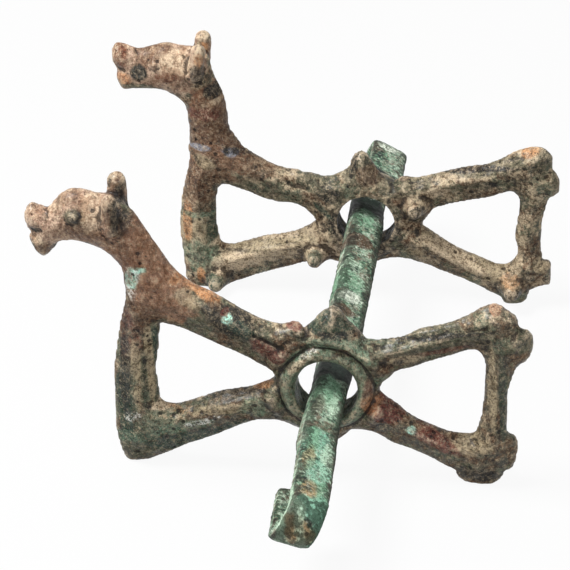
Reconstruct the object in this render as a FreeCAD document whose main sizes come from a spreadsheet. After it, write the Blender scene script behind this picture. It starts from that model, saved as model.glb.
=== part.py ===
# Horse bit of cast bronze: a mouthpiece bar with rolled ends and two openwork
# cheekpieces in the form of stylised horses, each free to turn on the bar.
# Millimetres. +X towards the horses' rumps, +Y along the bar away from the near
# cheekpiece, +Z up. The origin is the middle of the footprint, on the ground.

import FreeCAD, Part
import math
import os

# Driving dimensions. Those of a cheekpiece are measured from its ring's centre:
# x towards the rump and z up, so points at the head and neck have x below zero.
sizes = [
    ("ringSpacing", 89.5, "near ring to far ring, along the bar"),
    ("farRingShift", 0.9, "far ring behind the near one, along X"),
    ("barWidth", 9.0, "mouthpiece, across its broad face"),
    ("barThickness", 6.8, "mouthpiece, between its broad faces"),
    ("barRounding", 1.5, "radius on the bar's long edges"),
    ("barRoll", 26.6, "degrees that the bar is turned about its own length"),
    ("barDrop", 2.3, "bar's axis below the near ring's centre"),
    ("barShift", 0.3, "bar's axis behind the near ring's centre, along X"),
    ("nearOverhang", 51.4, "near ring to the middle of the near eye's bend"),
    ("farOverhang", 25.6, "far ring to the middle of the far eye's bend"),
    ("eyeNeck", 4.0, "bar's thickness beside an eye"),
    ("eyeGap", 6.0, "clear gap inside an eye"),
    ("tailThickness", 3.2, "rolled back strip"),
    ("tailLength", 17.0, "rolled back strip, from the bend's middle"),
    ("taperLength", 10.0, "stretch over which the bar thins to the eye's neck"),
    ("ringPlay", 2.8, "gap between the ring's hole and the bar's corners"),
    ("ringWall", 4.3, "ring, from its hole to its rim"),
    ("ringThickness", 9.0, "ring, along Y"),
    ("rimBevel", 1.2, "bevel round the ring's two rims"),
    ("mouthBevel", 1.8, "bevel round the two mouths of the ring's hole"),
    ("strutThickness", 6.8, "struts and bars of a cheekpiece, along Y"),
    ("strutFacet", 1.9, "bevel along a strut's edges"),
    ("cornerStep", 1.0, "how much wider a corner is than the strut that ends in it"),
    ("frontFootInset", 1.5, "front bar's middle to its lower corner's"),
    ("rearFootInset", 3.2, "rear bar's middle to its lower corner's"),
    ("rearTopInset", 1.2, "rear bar's middle to its upper corner's"),
    ("footDepth", 0.6, "how far a bottom corner is worn flat"),
    ("neckThickness", 8.2, "neck, along Y"),
    ("headThickness", 9.2, "head at the brow, along Y"),
    ("snoutThickness", 7.4, "head at the snout, along Y"),
    ("upperLipRadius", 3.5, "upper lip"),
    ("lowerLipRadius", 3.1, "lower lip"),
    ("eyeRadius", 3.0, "eye boss at its root"),
    ("eyeTipRadius", 1.5, "eye boss at its top"),
    ("eyeStand", 0.7, "eye boss, beyond the head's thickness"),
    ("earRadius", 2.7, "ear at its root"),
    ("earTipRadius", 1.5, "ear at its tip"),
    ("earSpread", 3.2, "ear's tip, from the head's middle plane"),
    ("knobWidth", 14.0, "pointed knob at its root, along X"),
    ("bumpRadius", 2.4, "small bump beside the knob"),
    ("tabThickness", 7.4, "two tabs on the rear bar, along Y"),
    ("goadRadius", 2.5, "goad at its root"),
    ("goadTipRadius", 1.3, "goad at its tip"),
    ("goadLength", 4.6, "goad, beyond the inner face"),
]

# The two castings follow one design but were made apart, so each has its own figures.
# Rows: name, near value, far value, meaning.
sideSizes = [
    ("RingHeight", 25.0, 24.1, "ring's centre above the ground"),
    ("FrontReach", 53.6, 51.4, "ring's centre to the front bar's outer side"),
    ("FrontWidth", 9.2, 9.0, "front bar"),
    ("FrontTopX", -45.4, -43.6, "front bar's upper corner"),
    ("FrontTopZ", 25.0, 15.0, "front bar's upper corner"),
    ("FrontTopRadius", 5.2, 5.2, "front bar's upper corner"),
    ("FrontFootRadius", 5.2, 5.2, "front bar's lower corner"),
    ("RearReach", 44.9, 47.2, "ring's centre to the rear bar's outer side"),
    ("RearWidth", 5.6, 6.0, "rear bar"),
    ("RearTopZ", 20.9, 17.5, "rear bar's upper corner"),
    ("RearTopRadius", 5.0, 5.7, "rear bar's upper corner"),
    ("RearFootRadius", 5.6, 5.2, "rear bar's lower corner"),
    ("TopFrontAngle", 138.0, 154.0, "where the top front strut meets the ring, degrees"),
    ("LowFrontAngle", 195.0, 222.0, "where the low front strut meets the ring, degrees"),
    ("TopRearAngle", 36.0, 29.0, "where the top rear strut meets the ring, degrees"),
    ("LowRearAngle", -35.0, -34.0, "where the low rear strut meets the ring, degrees"),
    ("TopFrontWidth", 10.6, 8.6, "top front strut"),
    ("LowFrontWidth", 7.6, 8.0, "low front strut at the ring"),
    ("LowFrontFootWidth", 11.0, 10.0, "low front strut at the front bar"),
    ("LowFrontFootZ", -18.4, -18.0, "low front strut's middle at the front bar"),
    ("TopRearWidth", 6.8, 7.7, "top rear strut at the ring"),
    ("LowRearWidth", 7.0, 6.4, "low rear strut at the ring"),
    ("KnobTop", 22.2, 18.6, "knob's tip above the ring's centre"),
    ("KnobX", 1.2, -1.2, "knob's tip"),
    ("KnobTip", 2.4, 5.0, "knob's tip, along X"),
    ("BumpX", -8.2, -18.6, "bump's middle"),
    ("BumpZ", 14.2, 10.6, "bump's middle"),
    ("HighTabReach", 50.4, 51.2, "upper tab's outer side"),
    ("HighTabZ", 15.6, 12.4, "upper tab's middle"),
    ("HighTabSize", 6.4, 6.0, "upper tab, along Z"),
    ("LowTabReach", 47.4, 50.0, "lower tab's outer side"),
    ("LowTabZ", -14.6, -14.6, "lower tab's middle"),
    ("LowTabSize", 7.2, 6.6, "lower tab, along Z"),
    ("NeckRootX", -43.2, -42.2, "neck's root"),
    ("NeckRootZ", 21.0, 15.0, "neck's root"),
    ("NeckRootWidth", 16.4, 14.4, "neck's root"),
    ("NeckMidX", -46.6, -43.3, "neck, halfway"),
    ("NeckMidZ", 32.0, 28.0, "neck, halfway"),
    ("NeckMidWidth", 12.2, 10.0, "neck, halfway"),
    ("NeckTopX", -51.4, -46.4, "neck's top, inside the head"),
    ("NeckTopZ", 41.4, 40.0, "neck's top, inside the head"),
    ("NeckTopWidth", 9.8, 8.6, "neck's top, inside the head"),
    ("PollX", -49.6, -44.2, "back of the head"),
    ("PollZ", 44.2, 43.2, "back of the head"),
    ("PollHeight", 7.2, 7.2, "back of the head"),
    ("CheekX", -55.0, -49.6, "head at the jaw's corner"),
    ("CheekZ", 43.4, 42.4, "head at the jaw's corner"),
    ("CheekHeight", 13.2, 12.8, "head at the jaw's corner"),
    ("BrowX", -62.0, -56.0, "head at the brow"),
    ("BrowZ", 44.2, 42.7, "head at the brow"),
    ("BrowHeight", 13.6, 13.2, "head at the brow"),
    ("SnoutX", -68.0, -62.0, "head at the snout"),
    ("SnoutZ", 41.4, 41.6, "head at the snout"),
    ("SnoutHeight", 9.8, 11.6, "head at the snout"),
    ("MuzzleReach", 74.6, 68.6, "ring's centre to the upper lip's tip"),
    ("UpperLipZ", 43.1, 44.8, "upper lip's middle"),
    ("LowerLipX", -70.6, -64.2, "lower lip's middle"),
    ("LowerLipZ", 35.8, 38.4, "lower lip's middle"),
    ("EyeX", -62.2, -56.4, "eye boss"),
    ("EyeZ", 46.4, 44.6, "eye boss"),
    ("EarRootX", -52.8, -45.8, "ears' roots"),
    ("EarRootZ", 46.0, 44.8, "ears' roots"),
    ("EarTipX", -52.4, -45.0, "ears' tips"),
    ("EarTipZ", 53.6, 50.0, "ears' tips"),
    ("RingGoadX", 12.6, 12.6, "goad beside the ring"),
    ("RingGoadZ", 6.6, 4.6, "goad beside the ring"),
    ("StrutGoadX", -15.4, -15.0, "goad on the low front strut"),
    ("StrutGoadZ", -6.6, -10.4, "goad on the low front strut"),
]

doc = FreeCAD.newDocument("horseBit")


def makeSheet():
    """Spreadsheet of the driving dimensions, one named cell for each."""
    rows = list(sizes)
    for name, nearValue, farValue, meaning in sideSizes:
        rows.append(("near" + name, nearValue, meaning + ", near cheekpiece"))
        rows.append(("far" + name, farValue, meaning + ", far cheekpiece"))
    sheet = doc.addObject("Spreadsheet::Sheet", "sizes")
    for row, (name, value, meaning) in enumerate(rows, start=1):
        sheet.set("A%d" % row, name)
        sheet.set("B%d" % row, str(value))
        sheet.setAlias("B%d" % row, name)
        sheet.set("C%d" % row, meaning)
    doc.recompute()
    return sheet


sheet = makeSheet()


def size(name):
    """A driving dimension, read from the sheet."""
    return float(sheet.get(name))


# The bar's corners turn inside the ring's hole, so the hole follows from the bar.
cornerReach = "(sqrt((sizes.barWidth / 2 - sizes.barRounding) ^ 2"
cornerReach += " + (sizes.barThickness / 2 - sizes.barRounding) ^ 2) + sizes.barRounding)"
holeRadius = "(%s + sizes.ringPlay)" % cornerReach
ringRadius = "(%s + sizes.ringWall)" % holeRadius

# Middle of the footprint, seen from the near ring's centre.
middleX = "((sizes.farRingShift + sizes.farHighTabReach - sizes.nearMuzzleReach) / 2)"
middleY = "((sizes.ringSpacing + sizes.farOverhang - sizes.nearOverhang) / 2)"


def value(expression):
    """The number that an expression of the sheet's names gives."""
    return float(sheet.evalExpression(expression))


# Mouthpiece


def makeMouthpiece():
    """Bar whose ends are thinned and rolled over, the near one down and the far one up."""
    body = doc.addObject("PartDesign::Body", "mouthpiece")
    body.Label = "mouthpiece"
    planes = {feature.Role: feature for feature in body.Origin.OriginFeatures}
    profile = body.newObject("Sketcher::SketchObject", "barProfile")
    profile.AttachmentSupport = [(planes["YZ_Plane"], "")]
    profile.MapMode = "FlatFace"

    half = "sizes.barThickness / 2"
    inner = "(sizes.eyeNeck - %s)" % half
    gapSide = "(%s + sizes.eyeGap)" % inner
    outer = "(%s + sizes.tailThickness)" % gapSide
    # One end of the profile, as distances from the middle of its bend towards the bar's
    # other end, and heights on the side that the end is rolled to.
    bend = "0"
    tail = "sizes.tailLength"
    taper = "(sizes.tailLength + sizes.taperLength)"
    corners = [
        (taper, half),
        (tail, inner),
        (bend, inner),
        (bend, gapSide),
        (tail, gapSide),
        (tail, outer),
        (bend, outer),
        (bend, "-" + half),
    ]
    inwardEnds = [
        ("(sizes.ringSpacing + sizes.farOverhang)", -1, 1),
        ("(-sizes.nearOverhang)", 1, -1),
    ]
    points = []
    for end, inward, side in inwardEnds:
        for along, up in corners:
            y = "%s + %d * %s" % (end, inward, along)
            z = "%d * (%s)" % (side, up)
            points.append((y, z, end))
    count = len(points)
    bends = {2: 1, 6: 1, 10: -1, 14: -1}
    for index in range(count):
        start = FreeCAD.Vector(value(points[index][0]), value(points[index][1]), 0)
        after = points[(index + 1) % count]
        stop = FreeCAD.Vector(value(after[0]), value(after[1]), 0)
        if index in bends:
            swell = FreeCAD.Vector(bends[index] * start.distanceToPoint(stop) / 2, 0, 0)
            profile.addGeometry(Part.Arc(start, (start + stop) / 2 + swell, stop), False)
        else:
            profile.addGeometry(Part.LineSegment(start, stop), False)
    pinProfile(profile, points, bends)

    pad = body.newObject("PartDesign::Pad", "barPad")
    pad.Profile = profile
    pad.Midplane = True
    pad.setExpression("Length", "sizes.barWidth")
    doc.recompute()
    rounding = body.newObject("PartDesign::Fillet", "barEdges")
    rounding.Base = (pad, longEdges(pad.Shape))
    rounding.setExpression("Radius", "sizes.barRounding")
    body.setExpression("Placement.Base.x", "sizes.barShift - %s" % middleX)
    body.setExpression("Placement.Base.y", "-%s" % middleY)
    body.setExpression("Placement.Base.z", "sizes.nearRingHeight - sizes.barDrop")
    body.Placement.Rotation = FreeCAD.Rotation(FreeCAD.Vector(0, 1, 0), size("barRoll"))
    return body


def pinProfile(profile, points, bends):
    """Joins the profile's lines and arcs and binds each corner to the sheet."""
    import Sketcher
    count = len(points)
    # An arc runs counter-clockwise, so its end points may be the other way round.
    startOf = {}
    stopOf = {}
    for index in range(count):
        first = profile.getPoint(index, 1)
        wanted = FreeCAD.Vector(value(points[index][0]), value(points[index][1]), 0)
        same = first.distanceToPoint(wanted) < 1e-6
        startOf[index] = 1 if same else 2
        stopOf[index] = 2 if same else 1
    for index in range(count):
        after = (index + 1) % count
        profile.addConstraint(Sketcher.Constraint(
            "Coincident", index, stopOf[index], after, startOf[after]))
    for index, (y, z, end) in enumerate(points):
        if index in bends:
            spot = profile.addConstraint(Sketcher.Constraint(
                "DistanceX", index, 3, value(end)))
            profile.setExpression("Constraints[%d]" % spot, end)
        for kind, expression in (("DistanceX", y), ("DistanceY", z)):
            spot = profile.addConstraint(Sketcher.Constraint(
                kind, index, startOf[index], value(expression)))
            profile.setExpression("Constraints[%d]" % spot, expression)


def longEdges(shape):
    """Names of the edges that run round the profile on the pad's two sides."""
    half = size("barWidth") / 2
    names = []
    for number, edge in enumerate(shape.Edges, start=1):
        if all(abs(abs(vertex.X) - half) < 1e-6 for vertex in edge.Vertexes):
            if len({round(vertex.X, 3) for vertex in edge.Vertexes}) == 1:
                names.append("Edge%d" % number)
    return names


# Cheekpieces


def ringCentre(side):
    """Centre of a cheekpiece's ring in the part's frame."""
    far = 1 if side == "far" else 0
    x = far * size("farRingShift") - value(middleX)
    y = far * size("ringSpacing") - value(middleY)
    return FreeCAD.Vector(x, y, size(side + "RingHeight"))


def addShape(name, shape):
    """One shape of a cheekpiece as an object of the document."""
    feature = doc.addObject("Part::Feature", name)
    feature.Shape = shape
    return feature


def facetWire(middle, across, width, thickness):
    """Bevelled cross-section of a strut, square to the line that it follows."""
    bevel = size("strutFacet")
    wide, deep = width / 2, thickness / 2
    outline = [
        (wide, deep - bevel), (wide - bevel, deep), (bevel - wide, deep), (-wide, deep - bevel),
        (-wide, bevel - deep), (bevel - wide, -deep), (wide - bevel, -deep), (wide, bevel - deep),
    ]
    corners = [middle + across * a + FreeCAD.Vector(0, b, 0) for a, b in outline]
    return Part.makePolygon(corners + corners[:1])


def makeStrut(start, startWidth, stop, stopWidth, thickness):
    """Tapered strut with bevelled edges between two points."""
    along = (stop - start).normalize()
    across = FreeCAD.Vector(-along.z, 0, along.x)
    first = facetWire(start, across, startWidth, thickness)
    last = facetWire(stop, across, stopWidth, thickness)
    return Part.makeLoft([first, last], True, True)


def makeDisc(middle, radius, thickness, bevel):
    """Disc with both rims bevelled, its axis along Y."""
    half = thickness / 2
    outline = [(0, -half), (radius - bevel, -half), (radius, bevel - half),
               (radius, half - bevel), (radius - bevel, half), (0, half)]
    corners = [FreeCAD.Vector(a, b, 0) for a, b in outline]
    face = Part.Face(Part.makePolygon(corners + corners[:1]))
    disc = face.revolve(FreeCAD.Vector(), FreeCAD.Vector(0, 1, 0), 360)
    disc.translate(middle)
    return disc


def ovalWire(middle, along, height, thickness):
    """Oval cross-section of the neck or head, square to the line that it follows."""
    across = FreeCAD.Vector(-along.z, 0, along.x)
    tall = middle + across * (height / 2)
    deep = middle + FreeCAD.Vector(0, thickness / 2, 0)
    if height < thickness:
        tall, deep = deep, tall
    return Part.Wire(Part.Ellipse(tall, deep, middle).toShape())


def makeOvalLoft(stations):
    """Smooth solid through oval sections, each a middle, a height and a thickness."""
    wires = []
    for index, (middle, height, thickness) in enumerate(stations):
        before = stations[max(index - 1, 0)][0]
        after = stations[min(index + 1, len(stations) - 1)][0]
        wires.append(ovalWire(middle, (after - before).normalize(), height, thickness))
    return Part.makeLoft(wires, True, False)


def makeFrame(side, at):
    """Front and rear bars, four struts and the four corners between them."""
    thick = size("strutThickness")
    bevel = size("strutFacet")
    ground = -size(side + "RingHeight")
    frontX = size(side + "FrontWidth") / 2 - size(side + "FrontReach")
    rearX = size(side + "RearReach") - size(side + "RearWidth") / 2
    frontFoot = size(side + "FrontFootRadius")
    rearFoot = size(side + "RearFootRadius")
    rearTop = size(side + "RearTopRadius")
    footLift = size("footDepth")
    topFront = at(size(side + "FrontTopX"), size(side + "FrontTopZ"))
    lowFrontX = frontX + size("frontFootInset")
    lowFront = at(lowFrontX, ground + frontFoot - footLift)
    topRear = at(rearX - size("rearTopInset"), size(side + "RearTopZ"))
    lowRear = at(rearX - size("rearFootInset"), ground + rearFoot - footLift)

    def onRing(name):
        angle = math.radians(size(side + name))
        middle = value(holeRadius) + size("ringWall") / 2
        return at(middle * math.cos(angle), middle * math.sin(angle))

    frontWidth = size(side + "FrontWidth")
    rearWidth = size(side + "RearWidth")
    step = size("cornerStep")
    members = {
        "FrontBar": makeStrut(topFront, frontWidth, at(frontX, ground + frontFoot), frontWidth,
                              thick),
        "RearBar": makeStrut(at(rearX, size(side + "RearTopZ")), rearWidth,
                             at(rearX, ground + rearFoot), rearWidth, thick),
        "TopFront": makeStrut(topFront, 2 * size(side + "FrontTopRadius") - step,
                              onRing("TopFrontAngle"), size(side + "TopFrontWidth"), thick),
        "LowFront": makeStrut(at(lowFrontX, size(side + "LowFrontFootZ")),
                              size(side + "LowFrontFootWidth"),
                              onRing("LowFrontAngle"), size(side + "LowFrontWidth"), thick),
        "TopRear": makeStrut(topRear, 2 * rearTop - step,
                             onRing("TopRearAngle"), size(side + "TopRearWidth"), thick),
        "LowRear": makeStrut(lowRear, 2 * rearFoot - step,
                             onRing("LowRearAngle"), size(side + "LowRearWidth"), thick),
        "FrontFoot": makeDisc(lowFront, frontFoot, thick, bevel),
        "RearFoot": makeDisc(lowRear, rearFoot, thick, bevel),
        "RearTop": makeDisc(topRear, rearTop, thick, bevel),
        "FrontTop": makeDisc(topFront, size(side + "FrontTopRadius"), thick, bevel),
    }
    return [addShape(side + name, shape) for name, shape in members.items()]


def makeNeckAndHead(side, at):
    """Neck, head, lips, eye bosses and ears."""
    neckThick = size("neckThickness")
    headThick = size("headThickness")
    neck = []
    for place in ("NeckRoot", "NeckMid", "NeckTop"):
        middle = at(size(side + place + "X"), size(side + place + "Z"))
        neck.append((middle, size(side + place + "Width"), neckThick))
    head = []
    thickness = {"Poll": neckThick * 0.8, "Cheek": headThick * 0.96,
                 "Brow": headThick, "Snout": size("snoutThickness")}
    for place in ("Poll", "Cheek", "Brow", "Snout"):
        middle = at(size(side + place + "X"), size(side + place + "Z"))
        head.append((middle, size(side + place + "Height"), thickness[place]))
    upper = size("upperLipRadius")
    lower = size("lowerLipRadius")
    upperLip = at(upper - size(side + "MuzzleReach"), size(side + "UpperLipZ"))
    lowerLip = at(size(side + "LowerLipX"), size(side + "LowerLipZ"))
    snout = head[-1][0]
    shapes = {
        "Neck": makeOvalLoft(neck),
        "Head": makeOvalLoft(head),
        "UpperLip": Part.makeSphere(upper, upperLip),
        "LowerLip": Part.makeSphere(lower, lowerLip),
        "UpperJaw": makeCone(snout + FreeCAD.Vector(1, 0, 1), size("snoutThickness") / 2 - 0.1,
                             upperLip, upper - 0.15),
        "LowerJaw": makeCone(snout + FreeCAD.Vector(1, 0, -1), size("snoutThickness") / 2 - 0.2,
                             lowerLip, lower - 0.15),
    }
    for name, out in (("Outer", -1), ("Inner", 1)):
        lid = at(size(side + "EyeX"), size(side + "EyeZ"), out * headThick / 4)
        pupil = at(size(side + "EyeX"), size(side + "EyeZ"), out * (headThick / 2 + size("eyeStand")))
        shapes[name + "Eye"] = makeCone(lid, size("eyeRadius"), pupil, size("eyeTipRadius"))
        root = at(size(side + "EarRootX"), size(side + "EarRootZ"), out * neckThick / 4)
        tip = at(size(side + "EarTipX"), size(side + "EarTipZ"), out * size("earSpread"))
        shapes[name + "Ear"] = makeCone(root, size("earRadius"), tip, size("earTipRadius"))
        shapes[name + "EarTip"] = Part.makeSphere(size("earTipRadius") + 0.05, tip)
    return [addShape(side + name, shape) for name, shape in shapes.items()]


def makeCone(root, rootRadius, tip, tipRadius):
    """Tapered round solid from one point to another."""
    along = tip - root
    return Part.makeCone(rootRadius, tipRadius, along.Length, root, along)


def makeDetails(side, at, inward):
    """Knob and bump on top, the two tabs behind and the goads on the inner face."""
    tabDeep = size("tabThickness")
    knobRoot = value(ringRadius) - size("ringWall") / 2
    knobDeep = size("strutThickness") - 0.4
    wide, tip = size("knobWidth") / 2, size(side + "KnobTip") / 2
    knob = []
    for half, deep, x, z in ((wide, knobDeep / 2, 0, knobRoot),
                             (tip, tip, size(side + "KnobX"), size(side + "KnobTop"))):
        ring = [at(x + a * half, z, b * deep) for a, b in ((1, 1), (-1, 1), (-1, -1), (1, -1))]
        knob.append(Part.makePolygon(ring + ring[:1]))
    bump = at(size(side + "BumpX"), size(side + "BumpZ"))
    shapes = {
        "Knob": Part.makeLoft(knob, True, True),
        "Bump": Part.makeSphere(size("bumpRadius"), bump),
    }
    rearX = size(side + "RearReach") - size(side + "RearWidth") / 2
    for name in ("HighTab", "LowTab"):
        reach, high = size(side + name + "Reach"), size(side + name + "Size")
        start = at(rearX, size(side + name + "Z"))
        stop = at(reach, size(side + name + "Z"))
        shapes[name] = makeStrut(start, high + size("cornerStep"), stop, high, tabDeep)
    ground = -size(side + "RingHeight")
    footLift = size("footDepth")
    frontX = size(side + "FrontWidth") / 2 - size(side + "FrontReach")
    goads = {
        "RingGoad": (size(side + "RingGoadX"), size(side + "RingGoadZ")),
        "StrutGoad": (size(side + "StrutGoadX"), size(side + "StrutGoadZ")),
        "FrontGoad": (frontX + size("frontFootInset"),
                      ground + size(side + "FrontFootRadius") - footLift),
        "RearGoad": (rearX - size("rearFootInset"),
                     ground + size(side + "RearFootRadius") - footLift),
    }
    face = size("strutThickness") / 2
    for name, (x, z) in goads.items():
        root = at(x, z, inward * (face - 1))
        tip = at(x, z, inward * (face + size("goadLength")))
        shapes[name] = makeCone(root, size("goadRadius"), tip, size("goadTipRadius"))
    return [addShape(side + name, shape) for name, shape in shapes.items()]


def makeRing(side, centre):
    """Ring round the bar's hole, with both rims bevelled."""
    shape = makeDisc(centre, value(ringRadius), size("ringThickness"), size("rimBevel"))
    return addShape(side + "Ring", shape)


def makeMouth(side, centre, out):
    """Cone that bevels one mouth of the ring's hole and opens beyond the ring's face."""
    mouth = doc.addObject("Part::Cone", side + ("Inner" if out > 0 else "Outer") + "Mouth")
    mouth.setExpression("Radius1", holeRadius)
    mouth.setExpression("Radius2", holeRadius + " + 2 * sizes.mouthBevel")
    mouth.setExpression("Height", "2 * sizes.mouthBevel")
    start = out * (size("ringThickness") / 2 - size("mouthBevel"))
    mouth.Placement = FreeCAD.Placement(
        centre + FreeCAD.Vector(0, start, 0),
        FreeCAD.Rotation(FreeCAD.Vector(0, 0, 1), FreeCAD.Vector(0, out, 0)))
    return mouth


def makeCheekpiece(side, inward):
    """One casting, all of a piece: frame, ring, neck, head and details, less the hole."""
    centre = ringCentre(side)

    def at(x, z, y=0.0):
        return centre + FreeCAD.Vector(x, y, z)

    pieces = [makeRing(side, centre)]
    pieces += makeFrame(side, at)
    pieces += makeNeckAndHead(side, at)
    pieces += makeDetails(side, at, inward)
    solid = doc.addObject("Part::MultiFuse", side + "Casting")
    solid.Shapes = pieces
    solid.Refine = False

    hole = doc.addObject("Part::Cylinder", side + "Hole")
    hole.setExpression("Radius", holeRadius)
    hole.setExpression("Height", "4 * sizes.ringThickness")
    hole.Placement = FreeCAD.Placement(
        centre - FreeCAD.Vector(0, 2 * size("ringThickness"), 0),
        FreeCAD.Rotation(FreeCAD.Vector(1, 0, 0), -90))
    cuts = [hole] + [makeMouth(side, centre, out) for out in (-1, 1)]
    below = doc.addObject("Part::Box", side + "Ground")
    for length in ("Length", "Width", "Height"):
        below.setExpression(length, "4 * sizes.ringSpacing")
    reach = 4 * size("ringSpacing")
    below.Placement.Base = FreeCAD.Vector(-reach / 2, -reach / 2, -reach)
    tools = doc.addObject("Part::MultiFuse", side + "Cuts")
    tools.Shapes = cuts + [below]
    cheekpiece = doc.addObject("Part::Cut", side + "Cheekpiece")
    cheekpiece.Base = solid
    cheekpiece.Tool = tools
    cheekpiece.Label = side + "_cheekpiece"
    return cheekpiece


nodes = [makeMouthpiece(), makeCheekpiece("near", 1), makeCheekpiece("far", -1)]
doc.recompute()

for item in doc.Objects:
    if "Invalid" in item.State or "Error" in item.State:
        raise RuntimeError("%s failed: %s" % (item.Label, item.State))
for node in nodes:
    if node.Shape.isNull() or not node.Shape.isValid():
        raise RuntimeError("%s has no valid shape" % node.Label)
    if len(node.Shape.Solids) != 1:
        raise RuntimeError("%s is %d solids" % (node.Label, len(node.Shape.Solids)))

os.makedirs("parts", exist_ok=True)
for node in nodes:
    node.Shape.exportStep("parts/%s.step" % node.Label)
    box = node.Shape.BoundBox
    print(node.Label, round(node.Shape.Volume), "mm3, x", round(box.XMin, 2), round(box.XMax, 2),
          "y", round(box.YMin, 2), round(box.YMax, 2), "z", round(box.ZMin, 2), round(box.ZMax, 2))
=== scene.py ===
import math
import bpy
import numpy as np
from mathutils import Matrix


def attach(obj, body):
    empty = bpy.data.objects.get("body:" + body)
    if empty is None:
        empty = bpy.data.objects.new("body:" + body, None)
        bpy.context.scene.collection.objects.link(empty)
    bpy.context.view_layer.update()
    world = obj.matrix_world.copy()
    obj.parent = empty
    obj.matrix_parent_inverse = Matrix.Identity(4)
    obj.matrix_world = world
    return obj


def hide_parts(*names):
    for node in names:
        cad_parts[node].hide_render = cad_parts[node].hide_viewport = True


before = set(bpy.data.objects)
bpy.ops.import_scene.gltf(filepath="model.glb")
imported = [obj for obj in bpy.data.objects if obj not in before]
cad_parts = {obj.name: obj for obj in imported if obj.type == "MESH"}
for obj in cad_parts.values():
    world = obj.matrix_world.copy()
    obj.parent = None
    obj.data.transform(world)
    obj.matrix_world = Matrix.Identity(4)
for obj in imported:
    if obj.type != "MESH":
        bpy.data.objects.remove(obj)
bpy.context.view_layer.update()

import openvdb
from mathutils import Vector

mm = 0.001


class Reading:  # one output of a node, which can be added, multiplied and so on like a number
    def __init__(self, bench, socket):
        self.bench = bench
        self.socket = socket

    def sum(self, operation, first, second=0.0):
        return self.bench.add("ShaderNodeMath", {"operation": operation}, {0: first, 1: second})

    def __add__(self, other): return self.sum("ADD", self, other)
    def __radd__(self, other): return self.sum("ADD", other, self)
    def __sub__(self, other): return self.sum("SUBTRACT", self, other)
    def __rsub__(self, other): return self.sum("SUBTRACT", other, self)
    def __mul__(self, other): return self.sum("MULTIPLY", self, other)
    def __rmul__(self, other): return self.sum("MULTIPLY", other, self)
    def __truediv__(self, other): return self.sum("DIVIDE", self, other)
    def __pow__(self, other): return self.sum("POWER", self, other)
    def of(self, operation): return self.sum(operation, self)
    def __abs__(self): return self.of("ABSOLUTE")
    def smaller(self, other): return self.sum("MINIMUM", self, other)
    def larger(self, other): return self.sum("MAXIMUM", self, other)


class Bench:  # a node tree and the one way to put a node in it
    def __init__(self, tree):
        self.tree = tree

    def add(self, kind, settings, sockets, output=0):
        node = self.tree.nodes.new(kind)
        for name, value in settings.items():
            setattr(node, name, value)
        for name, value in sockets.items():
            if isinstance(value, Reading):
                self.tree.links.new(value.socket, node.inputs[name])
            else:
                node.inputs[name].default_value = value
        return Reading(self, node.outputs[output])

    def between(self, value, low, high):  # an eased step from 0 to 1
        return self.add("ShaderNodeMapRange", {"interpolation_type": "SMOOTHSTEP"}, {0: value, 1: low, 2: high})

    def noise(self, place, scale, detail=3.0, roughness=0.55):
        return self.add("ShaderNodeTexNoise", {},
                        {"Vector": place, "Scale": scale, "Detail": detail, "Roughness": roughness})

    def vector(self, operation, first, second=(0.0, 0.0, 0.0)):
        return self.add("ShaderNodeVectorMath", {"operation": operation}, {0: first, 1: second})

    def parts(self, place):
        return [self.add("ShaderNodeSeparateXYZ", {}, {0: place}, output=axis) for axis in range(3)]

    def joined(self, x, y, z):
        return self.add("ShaderNodeCombineXYZ", {}, {0: x, 1: y, 2: z})

    def mix(self, share, first, second):
        return self.add("ShaderNodeMix", {"data_type": "RGBA"}, {0: share, 6: first, 7: second}, output=2)

    def shade(self, share, colour, shadow):  # darkens a colour
        return self.add("ShaderNodeMix", {"data_type": "RGBA", "blend_type": "MULTIPLY"},
                        {0: share, 6: colour, 7: shadow}, output=2)

    def mark(self, geometry, name, value):  # keeps a value on the points under a name
        return self.add("GeometryNodeStoreNamedAttribute", {"data_type": "FLOAT", "domain": "POINT"},
                        {"Geometry": geometry, "Name": name, "Value": value})

    def marked(self, name):
        return self.add("GeometryNodeInputNamedAttribute", {"data_type": "FLOAT"}, {"Name": name})

    def painted(self, name, output=2):  # the same in a material, where output 0 is a colour and 3 its alpha
        return self.add("ShaderNodeAttribute", {"attribute_name": name}, {}, output=output)

    def close(self, kind, reading):  # leads a reading to the tree's output
        self.tree.links.new(reading.socket, self.tree.nodes.new(kind).inputs[0])


def placed(name, data):  # a new object in the scene
    thing = bpy.data.objects.new(name, data)
    bpy.context.scene.collection.objects.link(thing)
    return thing


def aimed(thing, place, target):
    thing.location = place
    thing.rotation_euler = (Vector(target) - Vector(place)).to_track_quat("-Z", "Y").to_euler()


# Wax models: lumps blended in a block of readings, in mm, negative inside the metal.
def softUnion(first, second, softness):
    share = np.clip(0.5 + 0.5 * (second - first) / softness, 0, 1)
    return second + (first - second) * share - softness * share * (1 - share)


def eased(value, low, high):
    share = np.clip((value - low) / (high - low), 0, 1)
    return share * share * (3 - 2 * share)


def domed(depth, run):  # a quarter round, from 0 at an edge to 1 where the run ends
    return np.sqrt(1 - (np.maximum(run - depth, 0) / run).clip(0, 1) ** 2)


def rounded(loop, steps=3):  # a closed line through the points, without corners
    points = np.array(loop, float)
    before, after, beyond = (np.roll(points, turns, 0) for turns in (1, -1, -2))
    spots = []
    for step in range(steps):
        t = step / steps
        spots.append(0.5 * (2 * points + (after - before) * t
                            + (2 * before - 5 * points + 4 * after - beyond) * t * t
                            + (3 * points - before - 3 * after + beyond) * t ** 3))
    return np.stack(spots, 1).reshape(-1, 2)


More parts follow.
